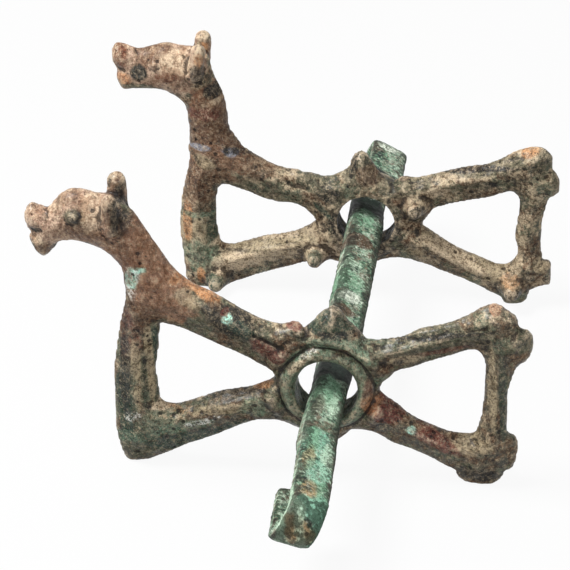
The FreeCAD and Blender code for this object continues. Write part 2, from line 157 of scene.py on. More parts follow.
def depthInside(loops, x, z, make):  # for each spot, how deep it lies inside the loops and its facet's height
    nearest = np.full(x.shape, 1e9)
    rise = np.full(x.shape, 1e9)
    inside = np.zeros(x.shape, bool)
    for number, loop in enumerate(loops):
        ends = np.roll(loop, -1, 0)
        turn = math.copysign(1, (loop[:, 0] * ends[:, 1] - ends[:, 0] * loop[:, 1]).sum())
        turn *= -1 if number else 1
        for (ax, az), (bx, bz) in zip(loop, ends):
            runX, runZ = bx - ax, bz - az
            long = math.hypot(runX, runZ) + 1e-9
            t = np.clip(((x - ax) * runX + (z - az) * runZ) / long ** 2, 0, 1)
            away = np.sqrt((x - ax - t * runX) ** 2 + (z - az - t * runZ) ** 2)
            nearest = np.minimum(nearest, away)
            topEdge = -turn * runX / long   # 1 where the metal lies below the edge, -1 where it lies above
            steep = make["sideSlope"] + (make["topSlope"] - make["sideSlope"]) * max(topEdge, 0)
            steep += (make["lowSlope"] - make["sideSlope"]) * max(-topEdge, 0)
            rise = np.minimum(rise, steep * away)
            if az != bz:
                crossed = ((az > z) != (bz > z)) & (x < ax + (z - az) * runX / runZ)
                inside ^= crossed
    return np.where(inside, 1, -1) * nearest, rise


farAway = 9.0  # mm, the reading of a block with nothing in it


class Wax:
    def __init__(self, low, high, step):
        self.low, self.step = np.array(low, float), step
        counts = [int(round((b - a) / step)) + 1 for a, b in zip(low, high)]
        self.lines = [a + step * np.arange(n) for a, n in zip(low, counts)]
        self.field = np.full(counts, farAway, np.float32)

    def patch(self, low, high):  # the part of the block between two corners, and its coordinates
        cuts = tuple(slice(max(0, int((a - line[0]) / self.step)), max(0, int((b - line[0]) / self.step) + 2))
                     for a, b, line in zip(low, high, self.lines))
        x, y, z = (line[cut] for line, cut in zip(self.lines, cuts))
        return cuts, x[:, None, None], y[None, :, None], z[None, None, :]

    def blend(self, cuts, lump, softness):
        self.field[cuts] = softUnion(self.field[cuts], lump, softness)

    def drop(self, start, end, startRadius, endRadius, softness):
        start, end = np.array(start, float), np.array(end, float)
        reach = max(startRadius, endRadius) + 3 * softness + 1
        cuts, *grids = self.patch(np.minimum(start, end) - reach, np.maximum(start, end) + reach)
        run = end - start
        offsets = [grid - begin for grid, begin in zip(grids, start)]
        t = sum(offset * part for offset, part in zip(offsets, run)) / max(float(run @ run), 1e-9)
        t = np.clip(t, 0, 1)
        away = np.sqrt(sum((offset - t * part) ** 2 for offset, part in zip(offsets, run)))
        self.blend(cuts, away - startRadius - (endRadius - startRadius) * t, softness)

    def cast(self, name, shift):  # the finished skin as a mesh object, in metres
        grid = openvdb.FloatGrid(farAway)
        grid.copyFromArray(self.field)
        points, quads = grid.convertToQuads(0.0)
        points = (points * self.step + self.low + np.array(shift)) * mm
        skin = bpy.data.meshes.new(name)
        skin.from_pydata(points.tolist(), [], quads.tolist())
        skin.update()
        corners = points[quads]
        normals = np.cross(corners[:, 2] - corners[:, 0], corners[:, 3] - corners[:, 1])
        if (normals * corners.mean(1)).sum() < 0:
            skin.flip_normals()
        return placed(name, skin)


# The cheekpieces: a horse in openwork, in mm from its ring's centre, x to the rump, z up.
cheekpiece = {
    "fineness": 0.43,       # size of the smallest facet
    "margin": 0.28,         # metal added all round the outlines of the openwork
    "headMargin": 0.14,     # and of the head
    "ringHole": 7.85,
    "ringOuter": 12.1,
    "edgeDepth": 1.3,       # how high a strut's rounded edge stands from its middle plane
    "edgeRun": 0.9,         # how wide that edge is
    "topSlope": 1.5,        # rise of a strut's narrow upper facet
    "lowSlope": 0.38,       # and of its broad lower one
    "sideSlope": 0.62,
    "strutDepth": 4.1,      # most that a ridge may stand from the middle plane
    "wear": 1,
    "collar": 1.1,          # height of the band outside the ring's groove
    "plumpRun": 6.2,        # how far in from its outline the head is round
    "neckDepth": 4.3,
    "headDepth": 4.7,
    "muzzleDepth": 3.9,
    "block": ((-77, -10, -27), (54, 10, 57)),      # corners of the block that is worked
    "ringBlock": ((-15, -7, -15), (15, 7, 15)),    # and of the part of it round the ring
    "grooveIn": 1.0,        # how far the ring's groove lies inside its edge
    "grooveSlope": 2.0,
    "ridgeSoftness": 0.6,
    "collarOut": 2.2,       # how far the band's crest lies outside the ring
    "collarWidth": 1.3,
    "slant": 0.85,          # evens out the readings where a facet lies aslant
    "hoopPower": 2.2,       # 2 would give the ring a round section
    "hoopSoftness": 0.4,
    "boreDrop": 0.4,        # shares of a ring's rise that its hole takes up
    "boreRise": 0.25,
    "earSoftness": 1.4,
    "eyeDepths": (3.4, 4.2),
    "eyeTaper": 0.3,
    "lumpSoftness": 1.6,
    "goadDepths": (1.0, 6.5), "goadSizes": (3.9, 2.0),
    "footSink": 0.05, "footSoftness": 0.3,
}

nearHorse = {
    "outline": [
        (-73.2, 47), (-74.5, 44.3), (-74, 40.7), (-73.1, 39.6), (-73.6, 37.3), (-70.5, 33),
        (-68.4, 35.5), (-67.5, 37), (-64.3, 37.9), (-61.2, 37.9), (-56.1, 36.2), (-53.1, 33.9),
        (-51, 31), (-50.3, 27), (-50, 22.2), (-51.1, 16.9), (-52, 11), (-52.9, 5.1), (-53.3, 0.7),
        (-53.3, -8.2), (-53.2, -15.6), (-52.5, -20.1), (-51.5, -23.6), (-50.6, -25.2),
        (-49.6, -25.6), (-47.9, -25.4), (-44.8, -24.3), (-40.2, -21.9), (-35, -19), (-28.6, -16.1),
        (-22.2, -12.6), (-18.3, -10.9), (-15.7, -10.3), (-11.8, -10.4), (-6.6, -12.4),
        (-4.3, -13.5), (-2, -15.1), (0.5, -15.7), (2.7, -14.9), (4.4, -13.4), (5.7, -11.9),
        (7.8, -11.4), (10.5, -11.7), (13.6, -12.7), (16.1, -14.3), (19.9, -15.7), (23.7, -17.2),
        (27.6, -19), (31.4, -21.1), (33.2, -21.9), (33.2, -23.2), (34.6, -24.6), (36.5, -25.8),
        (38.8, -26.2), (41.2, -25.6), (43, -24.4), (44, -22.9), (44.6, -21), (46.1, -20.3),
        (46.9, -18.8), (47.5, -15.2), (47.3, -11.7), (46.1, -11.2), (44.9, -10.2), (44.6, -8),
        (44.5, -3.6), (44.7, 1.7), (45.3, 5.2), (46.4, 9.1), (47.5, 10.5), (49, 11.6),
        (50.2, 14.3), (50.3, 17.1), (49.5, 18.9), (48.1, 19.4), (46.8, 20.2), (46, 23),
        (43.9, 24.6), (42, 25.9), (40.7, 26.1), (39.4, 25.8), (37.5, 24.8), (35.1, 22.9),
        (31.5, 20.9), (27.8, 19.3), (22.9, 17.9), (21, 16.7), (18, 15.2), (14.3, 14.2),
        (9.9, 13.8), (7.7, 16.1), (5.2, 18.7), (1.1, 22.8), (-5.3, 16.4), (-5.9, 15.9), (-6.9, 17),
        (-8, 17.8), (-9.3, 17.4), (-11.8, 16.7), (-14.5, 17.1), (-18.3, 18.6), (-22, 20.6),
        (-25.7, 22.7), (-29.4, 24.9), (-33.2, 26.6), (-35.7, 28.5), (-38.1, 30.7), (-40.5, 34),
        (-42.9, 37.9), (-45.3, 41.9), (-47.7, 45.6), (-49.4, 47.3), (-51.1, 49.1), (-53, 50.2),
        (-54.8, 50.5), (-57.2, 50.6), (-59.7, 51.3), (-62.5, 51.4), (-64.4, 51), (-66.2, 49.4),
        (-68.3, 46.7), (-69.4, 45.9), (-71.7, 46.3)],
    "frontWindow": [
        (-42.1, 15.5), (-40.5, 15.9), (-36.7, 15), (-31.7, 13), (-26.7, 10.7), (-21.7, 8.5),
        (-16.7, 5.9), (-14.1, 4.3), (-13, 2.6), (-13.3, 1.3), (-15.5, -0.4), (-19.3, -2.1),
        (-23.1, -3), (-28.2, -4.5), (-32, -6.3), (-35.8, -7.8), (-38.5, -8.6), (-41.2, -8.3),
        (-42.5, -6.8), (-42.8, -4.4), (-43.4, 0.9), (-43.3, 4.4), (-42.7, 8.8)],
    "rearWindow": [
        (12.9, -0.2), (13.4, 2.5), (15, 4.8), (17.2, 6.3), (21.6, 8.1), (25.3, 9.9), (30.2, 11.8),
        (33.9, 13.4), (36.2, 14), (38, 13.2), (39.1, 11.2), (39.5, 8.3), (39.5, 1.9), (39.2, -4),
        (38.3, -8.5), (37.7, -10.4), (36.5, -11.7), (33.9, -11.9), (30.8, -11.7), (27.4, -10.4),
        (23.1, -8.6), (20.5, -7), (18, -4.8), (15.5, -2.9), (13.7, -1.5)],
    "ring": (11.25, -31.85, 25.0),
    "inner": 1,                   # +1 where the inner face looks along +Y
    "ringRise": 1.2,              # how far the hoop's centre lies above the hole's
    "ringDepths": (4.6, 5.3),     # how far the ring stands out on the outer and the inner face
    "muzzleAt": (-72, 43.0),
    "ears": [((-52.8, 43.6), (-53.0, 51.3), 1.9, 1.9), ((-52.4, 45.7), (-52.5, 52.5), 2.6, 2.3)],
    "earSpread": [(4.6, 5.0), (3.4, 4.2)],
    "eye": (-62.0, 46.3), "eyeSize": 1.5,
    "creases": [((12, 13.2), (39, 21.6), 0.7, 1.0), ((-35, -6.9), (-14, 2.4), 0.6, 0.7),
                ((-27, 23.8), (-10, 18.4), 0.7, 0.8), ((-18, 15.5), (-9.5, 11.4), 0.7, 0.8),
                ((16.5, -1.0), (34, -10), 0.7, 0.6), ((-73, 41.0), (-70.6, 41.6), 0.8, 0.9)],
    "drops": [
        ((-71.4, 0, 43.5), (-70.4, 0, 42.6), 2.5, 2.3), ((-70.6, 0, 35.6), (-69.2, 0, 37.0), 1.9, 2.1),
        ((-56.5, 0, 43.5), (-58.5, 0, 44.5), 4.6, 4.4),
        ((-11.0, -1.6, 15.3), (-7.0, -1.6, 15.7), 1.4, 1.6)],
    "goads": [(12.6, 6.6), (-15.4, -6.6), (-44.5, -18.5), (40.0, -19.0)],
}

farHorse = {
    "outline": [
        (-66.9, 48.2), (-68.2, 48), (-68.9, 46.3), (-68.9, 43.3), (-67.8, 41.1), (-67.6, 40.4),
        (-67.7, 38.9), (-67.3, 36.9), (-66, 35.3), (-63.2, 35.6), (-57.7, 35.9), (-54.8, 35.5),
        (-52, 34), (-49.9, 32.1), (-49, 30.1), (-48.6, 26.5), (-48.1, 23.5), (-48.2, 20.4),
        (-48.5, 18.3), (-48.2, 15.8), (-48.9, 11.2), (-50, 6.4), (-50.7, 1.7), (-51, -3),
        (-51.1, -7.7), (-50.6, -12.4), (-50.1, -17.8), (-49.6, -22.6), (-48.3, -25.2),
        (-46.5, -26.4), (-44.4, -26.2), (-42.8, -26.3), (-40, -23.9), (-35.2, -21.9),
        (-28.2, -18.8), (-21.3, -16.4), (-17.1, -14.8), (-12, -13.4), (-7.2, -14.3), (-4.5, -14.7),
        (-1.8, -14.6), (1.7, -13.8), (3.6, -12.9), (6.4, -12), (9.3, -11.6), (12.1, -12),
        (14.9, -12.8), (17.7, -13.6), (20.5, -14.9), (23.3, -15.7), (27.4, -17.3), (31.1, -19),
        (34.4, -20.7), (37.3, -22.1), (38.1, -23.5), (39.4, -24.4), (42.4, -24), (44.1, -22.6),
        (44.6, -20), (45, -19.7), (47.2, -18.3), (49.3, -17.5), (50.3, -17.1), (50.3, -12.1),
        (49.7, -10.8), (48.1, -10.5), (47.3, -7.2), (47.1, -2.6), (47.3, 2.1), (48.2, 6.8),
        (49.1, 9.4), (50.4, 10.1), (51.5, 11.6), (51.3, 14.7), (50.3, 16.6), (49.3, 17.6),
        (49.5, 20.6), (48.7, 22.3), (47.3, 23.4), (45.6, 23.8), (43.6, 23.6), (39.7, 22.1),
        (35.8, 19.5), (31.8, 17.6), (27.7, 16.8), (22.4, 15.3), (17, 13.5), (12.9, 12.3),
        (9.7, 12.7), (6.1, 10.6), (3.4, 12.9), (-0.8, 19.2), (-2.8, 19.1), (-4, 17.8),
        (-4.7, 14.9), (-7.4, 12.7), (-11.6, 11.1), (-15.7, 12.1), (-19.1, 11.7), (-18.6, 12.7),
        (-21.2, 12.8), (-25.4, 13.8), (-29, 15.8), (-32.3, 17.7), (-34.5, 19.5), (-36.4, 22.3),
        (-37.9, 24.7), (-38.3, 28.7), (-38.9, 33.1), (-40, 36.6), (-41.3, 38.9), (-42.6, 42.5),
        (-43.1, 45.4), (-44.3, 46.5), (-46.2, 47.5), (-47.9, 48.4), (-49.4, 48.3), (-52.2, 48.7),
        (-54, 49.1), (-56, 48.9), (-58.7, 47.9), (-61.5, 46.9), (-63.8, 46.9), (-65.8, 47.7)],
    "frontWindow": [
        (-41.2, 6.1), (-40, 7.7), (-38.1, 8), (-35.3, 7), (-32, 5.9), (-27.9, 4.4), (-23.8, 3.4),
        (-21.1, 3.6), (-18.2, 2.8), (-15.9, 1.2), (-13.8, -1.7), (-14.7, -3.2), (-16.8, -4.7),
        (-19.6, -6.2), (-23.8, -7.5), (-27.9, -8.4), (-32.1, -9.9), (-35.4, -11.2), (-38.4, -11.8),
        (-40.5, -10.6), (-41.4, -7.1), (-41.9, -2.4), (-41.8, 2.3)],
    "rearWindow": [
        (14.9, -1.4), (16.3, 1.6), (17.6, 3.7), (19.7, 4.9), (23.8, 6.5), (29.2, 7.8), (33.2, 8.8),
        (36.6, 10.3), (39.2, 10.9), (41.1, 9.6), (41.8, 7.3), (41.6, 3.3), (40.9, -0.8),
        (40.8, -3.6), (41.5, -6.1), (41.7, -8.3), (41, -10.2), (39.6, -12.1), (37.5, -13),
        (35.2, -12.7), (31, -11), (26.8, -9.4), (22.6, -7.1), (18.4, -4.3)],
    "ring": (12.15, 57.65, 24.1),
    "inner": -1,
    "ringRise": 0.5, "ringDepths": (6.0, 3.6),
    "muzzleAt": (-66, 44.0),
    "ears": [((-46.2, 42.4), (-45.2, 49.4), 2.0, 2.0), ((-45.4, 43.8), (-45.1, 49.3), 2.3, 2.2)],
    "earSpread": [(4.2, 4.6), (3.4, 3.8)],
    "eye": (-57.2, 44.8), "eyeSize": 1.0,
    "creases": [((19, 15.2), (42, 21.8), 0.7, 0.9), ((-36, 19.0), (-18, 13.7), 0.7, 0.7),
                ((15.6, -0.8), (37, -11.2), 0.8, 0.5), ((-36, -10.2), (-18, -6.2), 0.7, 0.4),
                ((-69, 42.3), (-65.8, 42.0), 0.8, 0.8)],
    "drops": [
        ((-65.8, 0, 45.2), (-64.4, 0, 44.0), 2.6, 2.4), ((-65.4, 0, 38.6), (-64.0, 0, 39.6), 2.0, 2.2),
        ((-50.5, 0, 42.0), (-52.5, 0, 42.8), 4.6, 4.4),
        ((-19.6, -1.2, 11.6), (-16.8, -1.2, 11.2), 1.4, 1.5)],
    "goads": [(13.4, 5.8), (-13.6, -11.2), (-41.0, -20.6), (40.4, -17.8)],
}


def waxHorse(name, horse):
    make = cheekpiece
    wax = Wax(*make["block"], make["fineness"])
    x, z = np.meshgrid(wax.lines[0], wax.lines[2], indexing="ij")
    loops = [rounded(horse[part]) for part in ("outline", "frontWindow", "rearWindow")]
    neck = eased(z, 16, 30) * eased(-x, 26, 36)
    whole, rise = depthInside(loops, x, z, make)
    whole += make["margin"] + (make["headMargin"] - make["margin"]) * neck
    fromBore = np.hypot(x, z - horse["ringRise"])
    groove = fromBore - make["ringOuter"] + make["grooveIn"]
    inside = np.minimum(whole, groove)
    head = eased(z, 34, 42) * eased(-x, 36, 48)
    muzzle = eased(np.hypot(x - horse["muzzleAt"][0], z - horse["muzzleAt"][1]), 15, 4)
    fullest = make["neckDepth"] + (make["headDepth"] - make["neckDepth"]) * head
    fullest += (make["muzzleDepth"] - make["headDepth"]) * muzzle * head
    plump = fullest * domed(inside, make["plumpRun"])
    heights = []
    for depth, grooved in ((whole, 0), (inside, 1)):  # the smooth face, then the one with a grooved ring
        edge = make["edgeDepth"] * domed(depth, make["edgeRun"])
        if grooved:
            rise = np.minimum(rise, make["grooveSlope"] * np.maximum(groove, 0))
        ridged = softUnion(edge + rise, make["strutDepth"], make["ridgeSoftness"])
        height = ridged + (plump - ridged) * neck
        fromCrest = (fromBore - make["ringOuter"] - make["collarOut"]) / make["collarWidth"]
        height += make["collar"] * grooved * np.exp(-fromCrest ** 2) * eased(whole, 0.5, 2.5)
        for start, end, wide, deep in horse["creases"]:
            (ax, az), runX, runZ = start, end[0] - start[0], end[1] - start[1]
            t = np.clip(((x - ax) * runX + (z - az) * runZ) / (runX ** 2 + runZ ** 2), 0, 1)
            away = (x - ax - t * runX) ** 2 + (z - az - t * runZ) ** 2
            height -= deep * np.exp(-away / wide ** 2) * eased(whole, 0, 1)
        for _ in range(make["wear"]):  # rubs the ridges round
            for axis in (0, 1):
                height = (np.roll(height, 1, axis) + 2 * height + np.roll(height, -1, axis)) / 4
        heights.append(height[:, None, :])
    across = np.abs(wax.lines[1])[None, :, None]
    facing = (wax.lines[1] * horse["inner"] > 0)[None, :, None]
    inner = (across - np.where(facing, heights[0], heights[1])) * make["slant"]
    outer = np.sqrt(np.minimum(whole, 0)[:, None, :] ** 2 + across ** 2)
    wax.field = np.where(whole[:, None, :] > 0, inner, outer).astype(np.float32)

    cuts, gx, gy, gz = wax.patch(*make["ringBlock"])
    ringInner = make["ringHole"] - make["boreDrop"] * horse["ringRise"]
    middle = (make["ringOuter"] + ringInner) / 2
    band = (make["ringOuter"] - ringInner) / 2
    radius = np.sqrt(gx ** 2 + (gz - horse["ringRise"]) ** 2)
    depth = np.where(gy * horse["inner"] > 0, horse["ringDepths"][1], horse["ringDepths"][0])
    power = make["hoopPower"]
    hoop = (np.abs((radius - middle) / band) ** power + np.abs(gy / depth) ** power) ** (1 / power)
    wax.blend(cuts, (hoop - 1) * band, make["hoopSoftness"])
    tall = 1 + make["boreRise"] * horse["ringRise"] / make["ringHole"]  # the hole is drawn up with its ring
    bore = np.sqrt(gx ** 2 + np.where(gz > 0, gz / tall, gz) ** 2)
    wax.field[cuts] = np.maximum(wax.field[cuts], make["ringHole"] - bore)

    for (root, tip, rootSize, tipSize), (low, high), side in zip(horse["ears"], horse["earSpread"], (-1, 1)):
        wax.drop((root[0], side * low, root[1]), (tip[0], side * high, tip[1]),
                 rootSize, tipSize, make["earSoftness"])
    eyeX, eyeZ = horse["eye"]
    low, high = make["eyeDepths"]
    for side in (-1, 1):
        wax.drop((eyeX, side * low, eyeZ), (eyeX, side * high, eyeZ),
                 horse["eyeSize"], horse["eyeSize"] - make["eyeTaper"], make["earSoftness"])
    for start, end, startSize, endSize in horse["drops"]:
        wax.drop(start, end, startSize, endSize, make["lumpSoftness"])
    low, high = (horse["inner"] * depth for depth in make["goadDepths"])
    for goadX, goadZ in horse["goads"]:
        wax.drop((goadX, low, goadZ), (goadX, high, goadZ), *make["goadSizes"], make["lumpSoftness"])
    ground = -horse["ring"][2] - wax.lines[2][None, None, :] + make["footSink"]
    wax.field = -softUnion(-wax.field, -np.broadcast_to(ground, wax.field.shape), make["footSoftness"])
    wax.field = wax.field.astype(np.float32)
    thing = wax.cast(name, horse["ring"])
    print("wax model of", name, len(thing.data.polygons), "facets")
    return thing


nearCheek = waxHorse("nearCheekpiece", nearHorse)
farCheek = waxHorse("farCheekpiece", farHorse)


# The mouthpiece: a bar whose ends are hammered thin and rolled over, opposite ways. In mm.
mouthpiece = {
    "Bar Width": 9.4,
    "Dent": 0.8,             # how far the bar is knocked forwards near its near end
    "Waist": 0.9,            # width that has worn away in the near ring
    "Bar Thickness": 6.9,
    "Half Length": 83.25,    # from the middle to the centre of a roll
    "Roll Radius": 4.9,      # of the strip's middle line
    "Strip Thickness": 3.3,
    "Neck Thickness": 4.1,   # where the bar goes into the roll
    "Taper": 14.0,
    "Tail": 17.0,
    "Tail Width": 10.2,
    "Corner": 0.50,          # rounding of the long edges, as a share of half the bar
    "Roll Turn": 26.6,       # degrees that the bar's broad faces lean
    "Skew": 0.30,            # how far askew the near end is rolled, for each mm across
}

barFit = {
    "middle": (11.55, 22.7),         # x and z of the bar's middle
    "bow": 0.4,
    "waistAt": -33.0, "waistRun": 14.0,
    "dentAt": -50.0, "dentRun": 22.0,
    "skewRun": (-8.0, 5.0),          # from the roll's start, where the skew sets in
    "thinPast": 2.0,
    "endRun": 1.6, "endShare": 0.2,  # rounding of the bar's very ends, and how thick they stay
    "stationsAlong": 640, "stationsAround": 80, "cornerSteps": 6,
}


def bell(value, middle, run):  # 1 at the middle, dying away on both sides
    return (abs((value - middle) / run) ** 2.0 * -1.0).of("EXPONENT")


def barTree():
    tree = bpy.data.node_groups.new("rolled bar", "GeometryNodeTree")
    bench = Bench(tree)
    tree.interface.new_socket("Geometry", in_out="OUTPUT", socket_type="NodeSocketGeometry")
    for name in mouthpiece:
        tree.interface.new_socket(name, in_out="INPUT", socket_type="NodeSocketFloat")
    given = tree.nodes.new("NodeGroupInput")
    size = {name: Reading(bench, given.outputs[name]) for name in mouthpiece}

    half = size["Half Length"]
    arc = size["Roll Radius"] * math.pi
    reach = half + arc + size["Tail"]
    place = bench.add("GeometryNodeInputPosition", {}, {})
    px, py, _ = bench.parts(place)
    outline = bench.add("GeometryNodeCurvePrimitiveQuadrilateral", {}, {"Width": 2.0, "Height": 2.0})
    outline = bench.add("GeometryNodeFilletCurve", {"mode": "POLY"},
                        {"Curve": outline, "Count": barFit["cornerSteps"], "Radius": size["Corner"]})
    outline = bench.add("GeometryNodeResampleCurve", {}, {"Curve": outline, "Count": barFit["stationsAround"]})
    outline = bench.mark(outline, "across", px)
    outline = bench.mark(outline, "through", py)
    line = bench.add("GeometryNodeCurvePrimitiveLine", {}, {"Start": (-1, 0, 0), "End": (1, 0, 0)})
    line = bench.add("GeometryNodeResampleCurve", {}, {"Curve": line, "Count": barFit["stationsAlong"]})
    line = bench.mark(line, "reach", px)
    rod = bench.add("GeometryNodeCurveToMesh", {},
                    {"Curve": line, "Profile Curve": outline, "Fill Caps": True})
    along = bench.marked("reach") * reach
    distance = abs(along)
    end = along.of("SIGN")
    past = (distance - half).larger(0.0)
    turn = (past / size["Roll Radius"]).smaller(math.pi)
    sine, cosine = turn.of("SINE"), turn.of("COSINE")
    tail = (past - arc).larger(0.0)
    tailStart = half - size["Tail"]
    thin = bench.between(distance, tailStart - size["Taper"], tailStart + barFit["thinPast"])
    rolled = bench.between(past, 0.0, arc)
    thickness = size["Bar Thickness"] + (size["Neck Thickness"] - size["Bar Thickness"]) * thin
    thickness = thickness + (size["Strip Thickness"] - size["Neck Thickness"]) * rolled
    width = size["Bar Width"] + (size["Tail Width"] - size["Bar Width"]) * rolled
    width = width - size["Waist"] * bell(along, barFit["waistAt"], barFit["waistRun"])
    left = (reach - distance).larger(0.0) / barFit["endRun"]
    rounding = (1.0 - (1.0 - left.smaller(1.0)) ** 2.0) ** 0.5
    rounding = rounding * (1.0 - barFit["endShare"]) + barFit["endShare"]

    across = bench.marked("across") * width * 0.5 * rounding
    through = bench.marked("through") * thickness * 0.5 * rounding
    # The strip's middle line leaves the bar's by the metal that was drawn off its inner face.
    lift = (size["Bar Thickness"] - thickness) * 0.5
    lift = lift * (1.0 - rolled) + (size["Bar Thickness"] - size["Neck Thickness"]) * 0.5 * rolled
    rise = size["Roll Radius"] * (1.0 - cosine)
    spineY = end * (distance.smaller(half) + size["Roll Radius"] * sine - tail)
    spineN = end * (rise - lift)
    start, full = barFit["skewRun"]
    y = spineY - sine * through + size["Skew"] * across * bench.between(0.0 - along, half + start, half + full)
    n = spineN + cosine * through
    lean = size["Roll Turn"] * (math.pi / 180)
    leanSine, leanCosine = lean.of("SINE"), lean.of("COSINE")
    x = across * leanCosine + n * leanSine
    z = n * leanCosine - across * leanSine
    bend = barFit["bow"] - size["Dent"] * bell(spineY, barFit["dentAt"], barFit["dentRun"])
    middleX, middleZ = barFit["middle"]
    moved = bench.joined((x + bend + middleX) * mm, y * mm, (z + middleZ) * mm)
    bent = bench.add("GeometryNodeSetPosition", {}, {"Geometry": rod, "Position": moved})
    whole = bench.add("GeometryNodeRealizeInstances", {}, {"Geometry": bent})
    bench.close("NodeGroupOutput", whole)
    return tree


def baked(name, start, tree, values):  # runs a tree once on an object and keeps the plain mesh it gives
    change = start.modifiers.new("making", "NODES")
    change.node_group = tree
    for item in tree.interface.items_tree:
        if item.in_out == "INPUT" and item.name in values:
            change[item.identifier] = values[item.name]
    ready = start.evaluated_get(bpy.context.evaluated_depsgraph_get())
    skin = bpy.data.meshes.new_from_object(ready)
    skin.name = name
    start.modifiers.clear()
    start.data = skin
    return start


barSeed = placed("mouthpieceBar", bpy.data.meshes.new("mouthpieceBar"))
bar = baked("mouthpieceBar", barSeed, barTree(), mouthpiece)
print("bar and its rolled ends", len(bar.data.polygons), "facets")


# The skin that centuries in the ground gave all three pieces, in mm.
corrosion = {
    "cheek": {"Swell": 0.22, "Lumps": 0.16, "Pits": 0.28, "Grain": 0.09, "Crust": 0.10, "Seed": 3.0},
    "bar": {"Swell": 0.22, "Lumps": 0.15, "Pits": 0.25, "Grain": 0.10, "Crust": 0.14, "Seed": 8.0},
}


def skinTree():
    tree = bpy.data.node_groups.new("corroded skin", "GeometryNodeTree")
    bench = Bench(tree)
    tree.interface.new_socket("Geometry", in_out="OUTPUT", socket_type="NodeSocketGeometry")
    tree.interface.new_socket("Geometry", in_out="INPUT", socket_type="NodeSocketGeometry")
    for name in corrosion["bar"]:
        tree.interface.new_socket(name, in_out="INPUT", socket_type="NodeSocketFloat")
    tree.interface.new_socket("Patina", in_out="INPUT", socket_type="NodeSocketMaterial")
    given = tree.nodes.new("NodeGroupInput")
    size = {socket.name: Reading(bench, socket) for socket in given.outputs if socket.name}

    place = bench.add("GeometryNodeInputPosition", {}, {})
    normal = bench.add("GeometryNodeInputNormal", {}, {})
    spot = bench.vector("SCALE", place)
    spot.socket.node.inputs["Scale"].default_value = 1 / mm
    spot = bench.vector("ADD", spot, bench.joined(size["Seed"] * 31.0, size["Seed"] * 17.0, 0.0))
    swell = bench.noise(spot, 0.11, 2.0) - 0.5
    lumps = bench.noise(spot, 0.42, 3.0, 0.6) - 0.5
    grain = bench.noise(spot, 1.5, 3.0, 0.6) - 0.5
    crust = bench.between(bench.noise(spot, 0.24, 4.0, 0.65), 0.5, 0.56) * bench.noise(spot, 0.9, 2.0)
    cell = bench.add("ShaderNodeTexVoronoi", {}, {"Vector": spot, "Scale": 0.42, "Randomness": 1.0})
    picked = bench.between(bench.noise(spot, 0.16, 2.0), 0.52, 0.62)
    pits = bench.between(cell, 0.34, 0.12) * picked
    raised = size["Swell"] * swell * 2.0 + size["Lumps"] * lumps * 2.0 + size["Grain"] * grain * 2.0
    raised = raised + size["Crust"] * crust - size["Pits"] * pits
    push = bench.vector("SCALE", normal)
    tree.links.new((raised * mm).socket, push.socket.node.inputs["Scale"])
    moved = bench.add("GeometryNodeSetPosition", {}, {"Geometry": size["Geometry"], "Offset": push})
    for name, rounds in (("proudness", 40), ("rough", 6)):  # how proud a spot is of the metal round it
        place = bench.add("GeometryNodeInputPosition", {}, {})
        flat = bench.add("GeometryNodeBlurAttribute", {"data_type": "FLOAT_VECTOR"}, {})
        node = flat.socket.node
        vectorIn = [socket for socket in node.inputs if socket.name == "Value" and socket.enabled][0]
        tree.links.new(place.socket, vectorIn)
        node.inputs["Iterations"].default_value = rounds
        level = [socket for socket in node.outputs if socket.enabled][0]
        away = bench.vector("SUBTRACT", place, Reading(bench, level))
        proud = bench.add("ShaderNodeVectorMath", {"operation": "DOT_PRODUCT"},
                          {0: away, 1: bench.add("GeometryNodeInputNormal", {}, {})}, output=1) / mm
        moved = bench.mark(moved, name, proud)
    tilt = bench.add("ShaderNodeVectorMath", {"operation": "DOT_PRODUCT"},
                     {0: bench.add("GeometryNodeInputNormal", {}, {}), 1: (-0.4, 0.0, 0.9)}, output=1)
    moved = bench.mark(moved, "tilt", tilt)  # how far a facet looks up and forwards, towards the key light; the patina paints light and shade from it
    smooth = bench.add("GeometryNodeSetShadeSmooth", {}, {"Geometry": moved})
    whole = bench.add("GeometryNodeRealizeInstances", {}, {"Geometry": smooth})
    painted = bench.add("GeometryNodeSetMaterial", {}, {"Geometry": whole, "Material": size["Patina"]})
    bench.close("NodeGroupOutput", painted)
    return tree


earth = {  # colours of the cheekpieces
    "olive": (0.090, 0.092, 0.062, 1),
    "black": (0.014, 0.013, 0.010, 1),
    "metal": (0.140, 0.082, 0.050, 1),
    "ruddy": (0.285, 0.172, 0.112, 1),
    "soil": (0.340, 0.288, 0.198, 1),
    "paleSoil": (0.550, 0.455, 0.340, 1),
    "pink": (0.400, 0.296, 0.228, 1),
    "lip": (0.180, 0.075, 0.040, 1),
    "oxide": (0.150, 0.052, 0.038, 1),
    "rust": (0.440, 0.240, 0.120, 1),
    "verdigris": (0.150, 0.215, 0.155, 1),
    "turquoise": (0.440, 0.680, 0.590, 1),
    "deepGreen": (0.030, 0.062, 0.043, 1),
    # the white of the painted glints
    "glintWhite": (0.760, 0.760, 0.740, 1),
    "silver": (0.260, 0.270, 0.310, 1),
    "slate": (0.085, 0.088, 0.078, 1),
}
